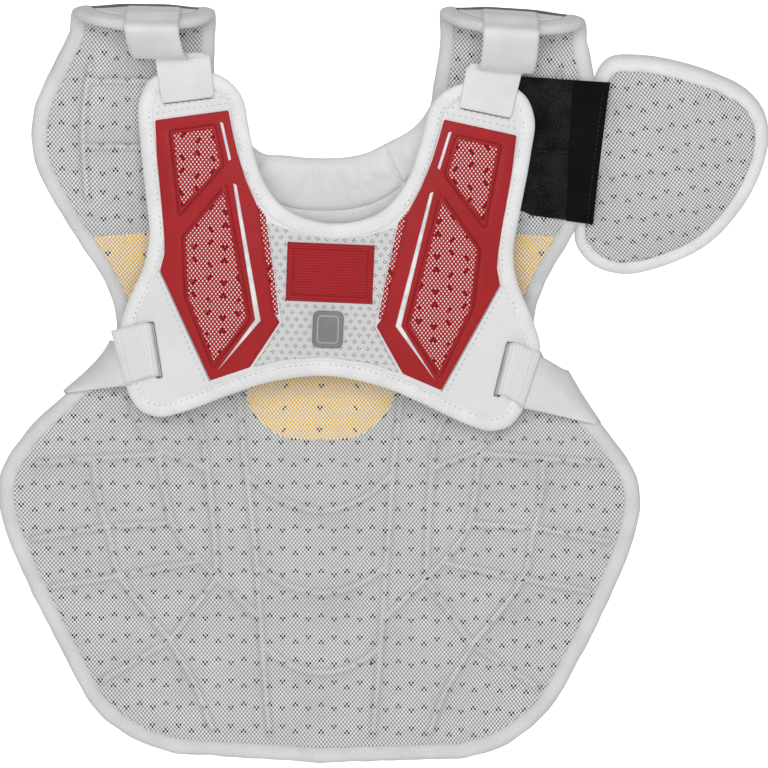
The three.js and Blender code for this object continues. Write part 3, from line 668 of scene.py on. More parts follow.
class EffectGroup(Graph):
    """Shared shader group that reads a place and puts out values."""

    def __init__(self, name: str, inputs: dict[str, float], *outputs: str) -> None:
        """Starts the group.

        Args:
            name: its name.
            inputs: its number inputs and their usual values.
            outputs: names of its value outputs.
        """
        super().__init__(bpy.data.node_groups.new(name, "ShaderNodeTree"))
        ports = self.tree.interface
        ports.new_socket("Place", in_out="INPUT", socket_type="NodeSocketVector")
        for label, value in inputs.items():
            ports.new_socket(label, in_out="INPUT", socket_type="NodeSocketFloat").default_value = value
        for label in outputs:
            ports.new_socket(label, in_out="OUTPUT", socket_type="NodeSocketFloat")
        self.given = self.node("NodeGroupInput").outputs
        self.result = self.node("NodeGroupOutput").inputs

    def turns(self) -> list[Socket]:
        """The place across and up, counted in pitches."""
        parts = self.node("ShaderNodeSeparateXYZ", {0: self.given["Place"]}).outputs
        return [self.math("DIVIDE", parts[axis], self.given["Pitch " + axis]) for axis in "XY"]

    def waves(self, shape: str) -> Socket:
        """Product of a wave across and a wave up, each one to a pitch."""
        both = [self.math(shape, self.math("MULTIPLY", turns, 2 * math.pi)) for turns in self.turns()]
        return self.math("MULTIPLY", *both)

    def noise(self, scale: str, detail: float) -> Socket:
        """Noise of the size that an input gives."""
        inputs = {"Vector": self.given["Place"], "Scale": self.given[scale], "Detail": detail}
        return self.node("ShaderNodeTexNoise", inputs).outputs[0]

    def give(self, **values: Socket) -> Tree:
        """Joins values to the outputs and returns the finished group."""
        for label, value in values.items():
            self.tree.links.new(value, self.result[label])
        return self.tree


def lattice_group() -> Tree:
    """Open diamond mesh: where its holes are and how high its threads stand."""
    g = EffectGroup("DiamondMesh", {"Pitch X": 2.64e-3, "Pitch Y": 3.36e-3, "Open": 0.2, "Soft": 0.35},
                    "Hole", "Height")
    both = g.waves("COSINE")
    high = g.math("ADD", g.given["Open"], g.given["Soft"])
    return g.give(Hole=g.smooth(both, g.given["Open"], high), Height=g.math("MULTIPLY", both, -1.0))


def holes_group() -> Tree:
    """Middle of the mesh hole that lies nearest to a place."""
    g = EffectGroup("NearestHole", {"Pitch X": 2.64e-3, "Pitch Y": 3.18e-3}, "X", "Y")
    turns = g.turns()
    first, second = (g.math("ROUND", g.math(operation, *turns)) for operation in ("ADD", "SUBTRACT"))
    middle = {}
    for axis, operation in (("X", "ADD"), ("Y", "SUBTRACT")):
        at = g.math("MULTIPLY", g.math(operation, first, second), 0.5)
        middle[axis] = g.math("MULTIPLY", at, g.given["Pitch " + axis])
    return g.give(**middle)


def spots_group() -> Tree:
    """Round spots in staggered rows, as of perforations behind a mesh."""
    g = EffectGroup("Perforations", {"Pitch X": 9.19e-3, "Pitch Y": 15.9e-3, "Stagger": 1.46e-3,
                                     "Radius": 1.9e-3, "Alternate": 1.0}, "Spot")
    across, up = g.turns()
    column, row = g.math("ROUND", across), g.math("ROUND", up)
    turn = g.math("MULTIPLY", row, g.given["Alternate"])
    odd = g.math("FLOORED_MODULO", g.math("ADD", column, turn), 2.0)
    sign = g.math("SUBTRACT", 1.0, g.math("MULTIPLY", odd, 2.0))
    dx = g.math("MULTIPLY", g.math("SUBTRACT", across, column), g.given["Pitch X"])
    dy = g.math("MULTIPLY", g.math("SUBTRACT", up, row), g.given["Pitch Y"])
    dy = g.math("SUBTRACT", dy, g.math("MULTIPLY", sign, g.given["Stagger"]))
    far = g.math("SQRT", g.math("ADD", g.math("MULTIPLY", dx, dx), g.math("MULTIPLY", dy, dy)))
    return g.give(Spot=g.smooth(g.math("DIVIDE", far, g.given["Radius"]), 1.12, 0.9))


def weave_group() -> Tree:
    """Plain weave: height of its threads and a slight change of tone."""
    g = EffectGroup("Weave", {"Pitch X": 0.7e-3, "Pitch Y": 0.7e-3, "Fuzz": 900.0}, "Height", "Tone")
    noise = g.noise("Fuzz", 3.0)
    return g.give(Height=g.math("ADD", g.waves("SINE"), g.math("MULTIPLY", noise, 1.6)), Tone=noise)


def grain_group() -> Tree:
    """Fine grain of coated cloth and soft unevenness of tone."""
    g = EffectGroup("Grain", {"Scale": 900.0, "Cloud": 25.0}, "Height", "Tone")
    inputs = {"Vector": g.given["Place"], "Scale": g.given["Scale"]}
    cells = g.node("ShaderNodeTexVoronoi", inputs, feature="F1")
    height = g.math("ADD", g.math("MULTIPLY", cells.outputs["Distance"], 0.7), g.noise("Scale", 3.0))
    return g.give(Height=height, Tone=g.noise("Cloud", 2.0))


@dataclass
class Effects:
    """Shared shader groups, made once."""

    lattice: Tree = field(default_factory=lattice_group)
    holes: Tree = field(default_factory=holes_group)
    spots: Tree = field(default_factory=spots_group)
    weave: Tree = field(default_factory=weave_group)
    grain: Tree = field(default_factory=grain_group)


EFFECTS = Effects()


@dataclass(frozen=True)
class Surface:
    """Gloss of a finish: the values that are the same all over it."""

    roughness: float
    specular: float
    sheen: float = 0.0


@dataclass(frozen=True)
class Finish:
    """Finish of two tones that becomes one material."""

    name: str
    colour: Colour
    deep: Colour

    def paint(self, g: Graph, place: Socket) -> tuple:
        """Colour and relief over the surface, and the relief's strength and depth in metres."""
        raise NotImplementedError

    def material(self) -> Material:
        """Makes the material."""
        material = bpy.data.materials.new(self.name)
        material.use_nodes = True
        g = Graph(material.node_tree)
        shader = g.tree.nodes["Principled BSDF"].inputs
        shader["Roughness"].default_value = self.surface.roughness
        shader["Specular IOR Level"].default_value = self.surface.specular
        shader["Sheen Weight"].default_value = self.surface.sheen
        colour, height, strength, depth = self.paint(g, g.place())
        bump = g.node("ShaderNodeBump", {"Height": height, "Strength": strength, "Distance": depth})
        g.tree.links.new(colour, shader["Base Color"])
        g.tree.links.new(bump.outputs["Normal"], shader["Normal"])
        return material


@dataclass(frozen=True)
class MeshFinish(Finish):
    """Open mesh, with holes of the deep tone, over a backing whose perforations darken some of them."""

    dark: Colour
    pitch: tuple[float, float] = (2.64e-3, 3.18e-3)
    opening: tuple[float, float] = (-0.12, 0.42)
    cluster: tuple[float, float, float, float] = (9.24e-3, 15.9e-3, 1.325e-3, 1.9e-3)
    shift: tuple[float, float] = (0.0, 0.0)
    turn: float = 0.0
    phase: tuple[float, float] = (1.32e-3, -0.795e-3)
    widen: float = -0.04
    crisp: float = 0.3
    alternate: float = 1.0
    surface: Surface = Surface(0.8, 0.2, 0.1)

    def paint(self, g: Graph, place: Socket) -> tuple:
        """Colour and relief of the threads, the holes and the perforations, with painted shade beside sewn
        channels.
        """
        pitch = {"Pitch X": self.pitch[0], "Pitch Y": self.pitch[1]}
        mapped = g.node("ShaderNodeMapping", {"Vector": place, "Location": (*self.shift, 0),
                                              "Rotation": (0, 0, self.turn)}).outputs[0]
        moved = g.node("ShaderNodeMapping", {"Vector": mapped, "Location": (*self.phase, 0)}).outputs[0]
        hole = g.group(EFFECTS.holes, {"Place": moved, **pitch})
        middle = {k: g.math("SUBTRACT", hole[k], self.phase[k]) for k in (0, 1)}
        labels = ("Pitch X", "Pitch Y", "Stagger", "Radius")
        nearest = g.node("ShaderNodeCombineXYZ", middle).outputs[0]
        spot = g.group(EFFECTS.spots, {"Place": nearest, "Alternate": self.alternate,
                                       **dict(zip(labels, self.cluster))})["Spot"]
        wide = g.math("SUBTRACT", self.opening[0], g.math("MULTIPLY", spot, self.widen))
        soft = g.math("SUBTRACT", self.opening[1], g.math("MULTIPLY", spot, self.crisp))
        lattice = g.group(EFFECTS.lattice, {"Place": moved, **pitch, "Open": wide, "Soft": soft})
        grain = g.group(EFFECTS.grain, {"Place": place, "Scale": 1400.0, "Cloud": 30.0})
        tone = g.math("ADD", 0.9, g.math("MULTIPLY", grain["Tone"], 0.2))
        thread = g.mix(1.0, self.colour, tone, "MULTIPLY")
        back = g.mix(spot, self.deep, self.dark)
        # The sewn attribute closes the holes along a channel above 0, and below 0 darkens the mesh beside it
        # as painted shade
        near = g.node("ShaderNodeAttribute", attribute_name="sewn").outputs["Fac"]
        closed = g.math("SUBTRACT", 1.0, g.math("MAXIMUM", near, 0.0))
        open_share = g.math("MULTIPLY", lattice["Hole"], closed)
        shade = g.math("ADD", 1.0, g.math("MINIMUM", near, 0.0))
        colour = g.mix(1.0, g.mix(open_share, thread, back), shade, "MULTIPLY")
        return colour, lattice["Height"], 0.45, 0.35e-3


@dataclass(frozen=True)
class ClothFinish(Finish):
    """Woven or brushed cloth."""

    pitch: float = 0.8e-3
    fuzz: float = 900.0
    relief: float = 0.12e-3
    surface: Surface = Surface(0.8, 0.2, 0.15)

    def paint(self, g: Graph, place: Socket) -> tuple:
        """Colour and relief of the weave."""
        weave = g.group(EFFECTS.weave, {"Place": place, "Pitch X": self.pitch, "Pitch Y": self.pitch,
                                        "Fuzz": self.fuzz})
        grain = g.group(EFFECTS.grain, {"Place": place, "Scale": 600.0, "Cloud": 40.0})
        share = g.math("MULTIPLY", g.math("ADD", weave["Tone"], grain["Tone"]), 0.5)
        return g.mix(g.smooth(share, 0.62, 0.36), self.colour, self.deep), weave["Height"], 0.4, self.relief


@dataclass(frozen=True)
class LeatherFinish(Finish):
    """Coated cloth with a fine grain."""

    grain: float = 1100.0
    relief: float = 0.06e-3
    surface: Surface = Surface(0.5, 0.4)

    def paint(self, g: Graph, place: Socket) -> tuple:
        """Colour and relief of the grain."""
        grain = g.group(EFFECTS.grain, {"Place": place, "Scale": self.grain, "Cloud": 22.0})
        share = g.smooth(grain["Tone"], 0.66, 0.3)
        return g.mix(share, self.colour, self.deep), grain["Height"], 0.35, self.relief


@dataclass(frozen=True)
class StripeFinish(Finish):
    """Bright foil print whose light changes along it."""

    surface: Surface = Surface(0.35, 0.5)

    def paint(self, g: Graph, place: Socket) -> tuple:
        """Colour of the foil, its reflection painted as light and dark tones by slow noise, and its relief.
        """
        # Slow noise mixes a light and a darker foil tone: painted reflection
        wave = g.node("ShaderNodeTexNoise", {"Vector": place, "Scale": 70.0, "Detail": 1.0})
        grain = g.group(EFFECTS.grain, {"Place": place, "Scale": 900.0, "Cloud": 60.0})
        share = g.smooth(wave.outputs[0], 0.58, 0.4)
        return g.mix(share, self.colour, self.deep), grain["Height"], 0.2, 0.04e-3


@dataclass(frozen=True)
class RibFinish(Finish):
    """Cloth woven in ribs along one direction of its pattern."""

    pitch: float
    axis: str
    relief: float
    surface: Surface = Surface(0.75, 0.2, 0.1)

    def paint(self, g: Graph, place: Socket) -> tuple:
        """Colour and relief of the ribs."""
        parts = g.node("ShaderNodeSeparateXYZ", {0: place})
        turns = g.math("MULTIPLY", parts.outputs[self.axis], 2 * math.pi / self.pitch)
        wave = g.math("MULTIPLY", g.math("ADD", g.math("SINE", turns), 1.0), 0.5)
        weave = g.group(EFFECTS.weave, {"Place": place, "Pitch X": 0.6e-3, "Pitch Y": 0.6e-3, "Fuzz": 1200.0})
        share = g.smooth(g.math("ADD", wave, g.math("MULTIPLY", weave["Tone"], 0.5)), 0.2, 0.95)
        height = g.math("ADD", wave, g.math("MULTIPLY", weave["Height"], 0.15))
        return g.mix(share, self.deep, self.colour), height, 0.6, self.relief


class Finishes:
    """Every finish of the protector, as materials."""

    def __init__(self) -> None:
        """Makes the materials."""
        rubber = (700.0, 0.05e-3, Surface(0.55, 0.4))
        tape = (0.9e-3, 700.0, 0.1e-3)
        self.lining = MeshFinish("grey_mesh", grey(238), srgb(136, 136, 137), srgb(2, 2, 3),
                                 shift=(0.0, 4.3e-3)).material()
        self.guard = MeshFinish("guard_mesh", grey(236), srgb(130, 130, 131), srgb(8, 8, 9),
                                turn=math.radians(-8)).material()
        self.foam = MeshFinish("yellow_foam_mesh", srgb(253, 246, 226), srgb(230, 172, 14), srgb(40, 40, 60),
                               cluster=(25.7e-3, 15.7e-3, 0.0, 1.9e-3)).material()
        self.window = MeshFinish("red_mesh", srgb(170, 32, 38), srgb(244, 232, 230), srgb(98, 12, 20),
                                 (2.7e-3, 3.5e-3), (0.24, 0.3), (10.6e-3, 12.2e-3, 1.4e-3, 1.9e-3),
                                 widen=0.3, crisp=0.0).material()
        self.spacer = MeshFinish("white_spacer_mesh", grey(226), grey(208), srgb(66, 66, 67),
                                 (2.12e-3, 1.88e-3), (0.2, 0.4), (3.18e-3, 9.4e-3, 2.35e-3, 1.5e-3),
                                 phase=(1.06e-3, -2.35e-3), widen=0.05, crisp=0.15, alternate=0.0,
                                 surface=Surface(0.75, 0.25, 0.1)).material()
        self.cover = ClothFinish("charcoal_cover", srgb(85, 79, 81), srgb(79, 73, 75), 1.0e-3).material()
        self.tape = ClothFinish("white_tape", grey(230), grey(217), *tape).material()
        # A lighter copy of the white tape: its extra brightness is painted light, used on the collar's seam
        # tape and the harness and guard bindings, where shade falls
        self.tape_painted_lighter = ClothFinish("white_tape_painted_lighter", grey(246), grey(234), *tape).material()
        self.white = LeatherFinish("white_coated_cloth", grey(236), grey(229)).material()
        # The collar's own lighter copy of the white coated cloth: its extra brightness is painted light
        # against the shade on the roll's lower half
        self.collar = LeatherFinish("white_collar_cloth_painted_lighter", grey(242), grey(237)).material()
        self.red = LeatherFinish("red_coated_cloth", srgb(172, 24, 31), srgb(164, 20, 27), 1300.0,
                                 surface=Surface(0.5, 0.32)).material()
        self.stripe = StripeFinish("silver_print", grey(244), srgb(222, 222, 224)).material()
        self.label = RibFinish("red_woven_label", srgb(176, 38, 44), srgb(150, 26, 33), 1.9e-3, "Y",
                               0.16e-3).material()
        self.rubber = LeatherFinish("grey_rubber", srgb(140, 139, 140), srgb(130, 129, 130),
                                    *rubber).material()
        self.rubber_line = LeatherFinish("pale_grey_rubber", srgb(186, 185, 186), srgb(176, 175, 176),
                                         *rubber).material()
        self.strap = ClothFinish("white_loop_strap", grey(242), grey(229), 0.6e-3, 1500.0, 0.16e-3,
                                 Surface(0.85, 0.2, 0.25)).material()
        self.elastic = RibFinish("white_elastic", grey(238), grey(222), 1.95e-3, "X", 0.14e-3).material()
        self.black = ClothFinish("black_loop_cloth", srgb(44, 41, 42), srgb(12, 11, 12), 1.1e-3, 620.0,
                                 0.4e-3, Surface(0.9, 0.12, 0.06)).material()
        self.black_smooth = ClothFinish("black_smooth_cloth", srgb(18, 17, 18), srgb(9, 8, 9), 0.7e-3, 700.0,
                                        0.1e-3, Surface(0.85, 0.12, 0.02)).material()
        self.white_thread = ClothFinish("white_thread", grey(236), grey(214)).material()
        self.grey_thread = ClothFinish("grey_thread", grey(204), grey(178)).material()
        self.red_thread = ClothFinish("dark_red_thread", srgb(150, 24, 32), srgb(118, 14, 22)).material()
        self.black_thread = ClothFinish("black_thread", srgb(60, 58, 59), srgb(40, 38, 39)).material()


# Stitching


def stitch_tree() -> Tree:
    """Geometry nodes that lay stitches along paths, square to an up direction kept on them."""
    tree = bpy.data.node_groups.new("StitchRun", "GeometryNodeTree")
    tree.interface.new_socket("Path", in_out="INPUT", socket_type="NodeSocketGeometry")
    for label, value in (("Pitch", 3.6e-3), ("Length", 2.4e-3), ("Width", 0.6e-3), ("Height", 0.5e-3),
                         ("Slant", 0.0)):
        tree.interface.new_socket(label, in_out="INPUT", socket_type="NodeSocketFloat").default_value = value
    tree.interface.new_socket("Thread", in_out="INPUT", socket_type="NodeSocketMaterial")
    tree.interface.new_socket("Stitches", in_out="OUTPUT", socket_type="NodeSocketGeometry")
    g = Graph(tree)
    given, end = g.node("NodeGroupInput").outputs, g.node("NodeGroupOutput")
    curve = g.node("GeometryNodeMeshToCurve", {"Mesh": given["Path"]}).outputs[0]
    path = g.node("GeometryNodeResampleCurve", {"Curve": curve, "Length": given["Pitch"]}, mode="LENGTH")
    ball = g.node("GeometryNodeMeshUVSphere", {"Segments": 6, "Rings": 4, "Radius": 0.5})
    size = g.node("ShaderNodeCombineXYZ", {0: given["Length"], 1: given["Width"], 2: given["Height"]})
    stitch = g.node("GeometryNodeTransform", {"Geometry": ball.outputs["Mesh"], "Scale": size.outputs[0]})
    up = g.node("GeometryNodeInputNamedAttribute", {"Name": "up"}, data_type="FLOAT_VECTOR")
    tangent = g.node("GeometryNodeInputTangent")
    turned = g.node("FunctionNodeAxesToRotation", {0: up.outputs[0], 1: tangent.outputs[0]},
                    primary_axis="Z", secondary_axis="X")
    slant = g.node("FunctionNodeAxisAngleToRotation", {"Axis": (0.0, 0.0, 1.0), "Angle": given["Slant"]})
    aimed = g.node("FunctionNodeRotateRotation", {0: turned.outputs[0], 1: slant.outputs[0]},
                   rotation_space="LOCAL")
    laid = g.node("GeometryNodeInstanceOnPoints", {"Points": path.outputs[0], "Instance": stitch.outputs[0],
                                                   "Rotation": aimed.outputs[0]})
    real = g.node("GeometryNodeRealizeInstances", {0: laid.outputs[0]})
    smooth = g.node("GeometryNodeSetShadeSmooth", {0: real.outputs[0]})
    dressed = g.node("GeometryNodeSetMaterial", {"Geometry": smooth.outputs[0], "Material": given["Thread"]})
    tree.links.new(dressed.outputs[0], end.inputs[0])
    return tree


STITCHES = stitch_tree()


@dataclass
class StitchRun:
    """Rows of stitches that become one piece."""

    name: str
    thread: Material
    slot: str
    pitch: float
    length: float
    width: float
    height: float
    slant: float = 0.0
    paths: list[tuple[Array, Array]] = field(default_factory=list)

    def row(self, points: Array, up: Array, closed: bool = False) -> None:
        """Adds a row along points in space, with its up directions."""
        if closed:
            points, up = np.vstack([points, points[:1]]), np.vstack([up, up[:1]])
        self.paths.append((points, up))

    def build(self) -> None:
        """Lays the stitches as a plain mesh."""
        points = np.vstack([p for p, _ in self.paths]) * MM
        ups = np.vstack([u for _, u in self.paths])
        edges, first = [], 0
        for p, _ in self.paths:
            edges += [(first + i, first + i + 1) for i in range(len(p) - 1)]
            first += len(p)
        mesh = bpy.data.meshes.new(self.name + "_path")
        mesh.from_pydata(points.tolist(), edges, [])
        mesh.attributes.new("up", "FLOAT_VECTOR", "POINT").data.foreach_set("vector", ups.ravel())
        path = put_in_scene(self.name + "_path", mesh)
        modifier = path.modifiers.new("stitches", "NODES")
        modifier.node_group = STITCHES
        values = {"Pitch": self.pitch * MM, "Length": self.length * MM, "Width": self.width * MM,
                  "Height": self.height * MM, "Slant": self.slant, "Thread": self.thread}
        for socket in STITCHES.interface.items_tree:
            if socket.item_type == "SOCKET" and socket.name in values:
                modifier[socket.identifier] = values[socket.name]
        path.update_tag()
        graph = bpy.context.evaluated_depsgraph_get()
        laid = bpy.data.meshes.new_from_object(path.evaluated_get(graph))
        bpy.data.objects.remove(path)
        laid.name = self.name
        if PATTERN not in laid.uv_layers:
            place = np.zeros(len(laid.vertices) * 3)
            laid.vertices.foreach_get("co", place)
            mark_pattern(laid, place.reshape(-1, 3)[:, [0, 2]])
        settle(put_in_scene(self.name, laid), self.slot)


# Chest panel


def loft(inner: Array, outer: Array, columns: int) -> Array:
    """Pattern points of rows, given by their inner and outer ends."""
    u = np.linspace(0, 1, columns)[None, :, None]
    return (inner[:, None] * (1 - u) + outer[:, None] * u).reshape(-1, 2)


@dataclass(frozen=True)
class PadForm:
    """Pattern of the chest panel and how it is formed in space."""

    chest_depth: float = 104
    wing_lean: float = 0.4
    lean_start: float = -205
    lean_blend: float = 25
    tuck_start: float = -300
    tuck: float = 18
    hem_z: float = -510.8
    bowl: float = 7.0e-4
    bend_start: float = -6
    bend_radius: float = 16
    bend_end: float = math.radians(108)
    pad_edge: float = 8
    pad_full: float = 19
    tongue_full: float = 10
    pad_taper: float = 26
    binding: float = 9.3
    neck_seam: tuple[float, float, float] = (88, -8, 117.5)
    neck_line: tuple[float, float, float] = (81.5, -18, 73.2)
    neck_power: float = 2.4
    torso_edge: tuple = ((101, -505.5), (128, -496.5), (154, -476), (172.5, -443), (204, -378), (216.5, -341),
                         (216.5, -318), (202, -292), (175, -264.5), (150, -239), (141, -222), (138.5, -208))
    wing_edge: tuple = ((138.5, -208), (141, -192), (149, -172), (176, -128.5), (194, -91), (193.5, -61),
                        (183, -35), (172, -8))
    tongue_edge: tuple = ((172, -8), (170, 10), (164, 24), (154, 35), (140, 43))
    tongue_inner: tuple = ((88, -8), (87.5, 10), (91, 25), (99, 36), (111, 43))
    wing_pull: tuple[float, float, float] = (9, -82, 58)
    waist_pull: tuple[float, float, float] = (3.2, -286, 30)
    hem_pull: tuple[float, float, float] = (3, -490, 28)
    hip_swing: tuple[float, float, float] = (1.5, -297, 45)

    def profile(self, v: Array) -> tuple[Array, Array, Array]:
        """Depth, height and lean of the lining at pattern heights."""
        v = np.asarray(v, float)
        flat = np.minimum(v, self.bend_start)
        span = self.tuck_start - self.hem_z
        low = np.maximum(0, self.tuck_start - flat) / span
        lean = (flat - self.lean_start) / self.lean_blend
        leant = self.wing_lean * self.lean_blend * np.logaddexp(0, lean)
        y = self.chest_depth - leant - self.tuck * low * low
        start = np.arctan(self.wing_lean / (1 + np.exp(-lean)) - 2 * self.tuck * low / span)
        past = np.maximum(v - self.bend_start, 0)
        bend = np.minimum(start + past / self.bend_radius, self.bend_end)
        bend = np.where(past > 0, bend, start)
        straight = past - self.bend_radius * (bend - start)
        y = y - self.bend_radius * (np.cos(start) - np.cos(bend)) - straight * np.sin(bend)
        z = flat + self.bend_radius * (np.sin(bend) - np.sin(start)) + straight * np.cos(bend)
        return y, z, bend

    def curve(self, v: Array) -> Array:
        """Bowl of the panel at pattern heights."""
        return self.bowl * (1 - 0.2 * ease(v, -170, -40))

    def normal(self, x: Array, v: Array) -> Array:
        """Directions from the lining to the front cover."""
        angle = self.profile(v)[2]
        n = np.stack([2 * self.curve(v) * x * np.cos(angle), np.cos(angle), np.sin(angle)], axis=-1)
        return n / np.linalg.norm(n, axis=-1, keepdims=True)

    def point(self, x: Array, v: Array, t: Array) -> Array:
        """Places in space of pattern places, at levels in front of the lining.

        Args:
            x: pattern places across, positive to the wearer's right.
            v: pattern heights.
            t: levels towards the front.
        Returns:
            Points, one row each.
        """
        x, v, t = (np.asarray(a, float) for a in np.broadcast_arrays(x, v, t))
        y, z, _ = self.profile(v)
        pulled = hump(v, self.wing_pull) + hump(v, self.waist_pull)
        pulled = np.where(x > 0, pulled * ease(x, 120, 200) + ease(x, 60, 140) * hump(v, self.hem_pull), 0)
        shoulder = 0.075 * (x - self.neck_seam[0]) * ease(x, 0, 60) * ease(v, -120, -20)
        roll = shoulder + 0.016 * x * ease(-v, 300, 480)
        lifted = 3.2 * ease(v, -265, -215) + 2.6 * ease(v, -45, 0)
        lifted = lifted + 2.6 * ease(v, -90, 15) * ease(-x, 120, 165)
        across = x + lifted - hump(v, self.hip_swing) - pulled
        lining = np.stack([across, y - self.curve(v) * x * x, z - roll], axis=-1)
        return lining + self.normal(x, v) * t[..., None]

    def lay(self, p: Array, t: Array) -> Array:
        """Places in space of rows of pattern points."""
        return self.point(p[:, 0], p[:, 1], t)

    def sew(self, run: StitchRun, p: Array, level: Array | float) -> None:
        """Adds a row of stitches along pattern points, on the wearer's side."""
        run.row(self.lay(p, level), -self.normal(p[:, 0], p[:, 1]))

    def neck(self, line: tuple[float, float, float], angle: Array) -> Array:
        """Pattern points of a neckline at angles from the middle."""
        half, top, drop = line
        power = 2 / self.neck_power
        turn = np.abs(np.asarray(angle, float))
        x = half * np.sin(turn) ** power
        z = top - drop * np.maximum(np.cos(turn), 0) ** power
        return np.stack([np.sign(angle) * x, z], axis=-1)

    def rows(self, torso: int, wing: int, tongue: int) -> tuple[Array, Array]:
        """Ends of the pattern's rows on the right half, from the hem to the tongue's end.

        Args:
            torso, wing, tongue: number of rows in each stretch.
        Returns:
            Inner ends and outer ends.
        """
        neck_low = self.neck(self.neck_seam, np.zeros(1))[0, 1]
        up = np.linspace(self.hem_z, neck_low, torso, endpoint=False)
        inner = [np.stack([0 * up, up], 1)]
        outer = [spaced(catmull(np.array(self.torso_edge), False), False, torso + 1)[:-1]]
        inner.append(self.neck(self.neck_seam, np.linspace(0, math.pi / 2, wing, endpoint=False)))
        outer.append(spaced(catmull(np.array(self.wing_edge), False), False, wing + 1)[:-1])
        inner.append(spaced(catmull(np.array(self.tongue_inner), False), False, tongue))
        outer.append(spaced(catmull(np.array(self.tongue_edge), False), False, tongue))
        return np.vstack(inner), np.vstack(outer)

    def seam(self) -> Array:
        """Seam of the right half, from the neck's middle over the tongue and the side to the hem's middle."""
        inner, outer = self.rows(110, 80, 24)
        end = between(inner[-1], outer[-1], 12)[1:-1]
        hem = between(outer[0], inner[0], 36)[1:]
        return np.vstack([inner[110:], end, outer[::-1], hem])


@dataclass
class ChestPanel:
    """Padded panel with its wings: lining, cover, foam inserts, binding, patches and quilting."""

    form: PadForm
    finishes: Finishes
    columns: int = 112
    row_counts: tuple[int, int, int] = (195, 120, 34)
    coarse: int = 3
    groove: float = 1.7
    puff: float = 1.3
    cell: float = 5.0
    corner: tuple[float, float] = (-225.0, -510.0)
    channels: tuple = (
        ((114, -300), (157, -303), (200, -306)),
        ((135, -265), (126, -284), (115, -296), (84, -310)),
        ((161, -306), (157, -338), (152, -354), (146, -384), (137, -399), (108, -435)),
        ((115, -301), (110, -334), (107, -348), (96, -367), (77, -387)),
        ((93, -268), (84, -288), (80, -318), (77, -352), (75, -387)),
        ((58, -258), (55, -290), (50, -340), (46, -387), (43, -430), (40, -468), (37, -500)),
        ((110, -350), (155, -353), (204, -361)),
        ((89, -378), (142, -388), (190, -396)),
        ((76, -388), (43, -420)),
        ((76, -391), (108, -435)),
        ((108, -435), (156, -464)),
        ((108, -435), (90, -467), (78, -497)),
        ((166, -28), (170, -70), (168, -118)),
        ((121, -38), (166, -38)),
        ((118, -83), (170, -83)),
    )
    arcs: tuple = ((50, -341, 24), (46, -400, 19), (42, -457, 19))
    knots: tuple = ((114, -300), (160, -305), (76, -389), (144, -389), (36, -450), (-77, -387))
    centre_insert: tuple = ((25, -288.5), (35, -283.5), (50, -268), (54, -255), (54.5, -240), (40, -226))
    wing_insert: tuple = ((112, -139), (165.5, -145.5), (142.5, -200), (128, -200))

    def __post_init__(self) -> None:
        """Works out the seam and the channels' lines."""
        line = self.form.seam()
        self.seam = spaced(line, False, int(travelled(line)[-1] / 3.2))
        self.lines = [catmull(np.array(c, float), False, 12) for c in self.channels]
        for half, middle, rise in self.arcs:
            u = np.linspace(0, 1, 12)
            self.lines.append(np.stack([half * u, middle + rise * u * u], 1))
        self.puffs = self.inflate()

    def inflate(self) -> Array | None:
        """Lets the lining swell between its channels as cloth.

        Returns:
            How far it swells at a grid of pattern points.
        """
        x, v = (np.arange(start, end, self.cell) for start, end in zip(self.corner, (226, 46)))
        p = np.stack(np.meshgrid(x, v, indexing="ij"), -1).reshape(-1, 2)
        right = np.abs(p * [1, 0]) + p * [0, 1] + [0.01, 0]
        within = inside(right, self.seam)
        number = np.where(within, np.cumsum(within) - 1, -1).reshape(len(x), len(v))
        corners = [number[:-1, :-1], number[1:, :-1], number[1:, 1:], number[:-1, 1:]]
        quads = np.stack(corners, -1).reshape(-1, 4)
        quads = quads[(quads >= 0).all(axis=1)]
        flat, right = p[within], right[within]
        held = np.min([line_distance(right, line) for line in self.lines], axis=0) < 0.62 * self.cell
        held |= line_distance(right, self.seam) < 1.6 * self.cell
        rest = self.form.lay(flat, np.zeros(len(flat)))
        moved = swollen(rest, quads, held, 5) - rest
        puffs = np.zeros(len(p))
        puffs[within] = np.clip(-(moved * self.form.normal(flat[:, 0], flat[:, 1])).sum(axis=1), 0, 4)
        puffs = puffs.reshape(len(x), len(v))
        return (puffs + puffs[::-1]) / 2

    def swell(self, p: Array, sewn: Array) -> Array:
        """Swelling at pattern points of the right half, at given distances from the channels."""
        if self.puffs is None:
            return self.puff * (1 - bell(sewn, 0, 15))
        place = (p - np.array(self.corner)) / self.cell
        near = np.clip(np.rint(place).astype(int), 1, np.array(self.puffs.shape) - 2)
        t = np.clip(place - near, -0.5, 0.5)
        weights = (0.5 * (0.5 - t) ** 2, 0.75 - t * t, 0.5 * (0.5 + t) ** 2)
        total = np.zeros(len(p))
        for i, across in enumerate(weights):
            for j, up in enumerate(weights):
                total += across[:, 0] * up[:, 1] * self.puffs[near[:, 0] + i - 1, near[:, 1] + j - 1]
        return total

    def thickness(self, p: Array) -> Array:
        """Thickness of the pad at pattern points of the right half."""
        f = self.form
        full = f.pad_full + (f.tongue_full - f.pad_full) * ease(p[:, 1], -70, 5)
        return f.pad_edge + (full - f.pad_edge) * ease(line_distance(p, self.seam), 0, f.pad_taper)

    def level(self, p: Array) -> Array:
        """Level of the quilted lining at pattern points of the right half."""
        sewn = np.min([line_distance(p, line) for line in self.lines], axis=0)
        edge = ease(line_distance(p, self.seam), 0, 14)
        pucker = 0.3 * ripple(p, 8, 15) * bell(sewn, 0, 5) * edge
        crease = self.groove * bell(sewn, 0, 1.7) + 0.9 * bell(sewn, 0, 7)
        return (crease - self.swell(p, sewn)) * edge + 0.25 * ripple(p, 22, 5) * edge + pucker

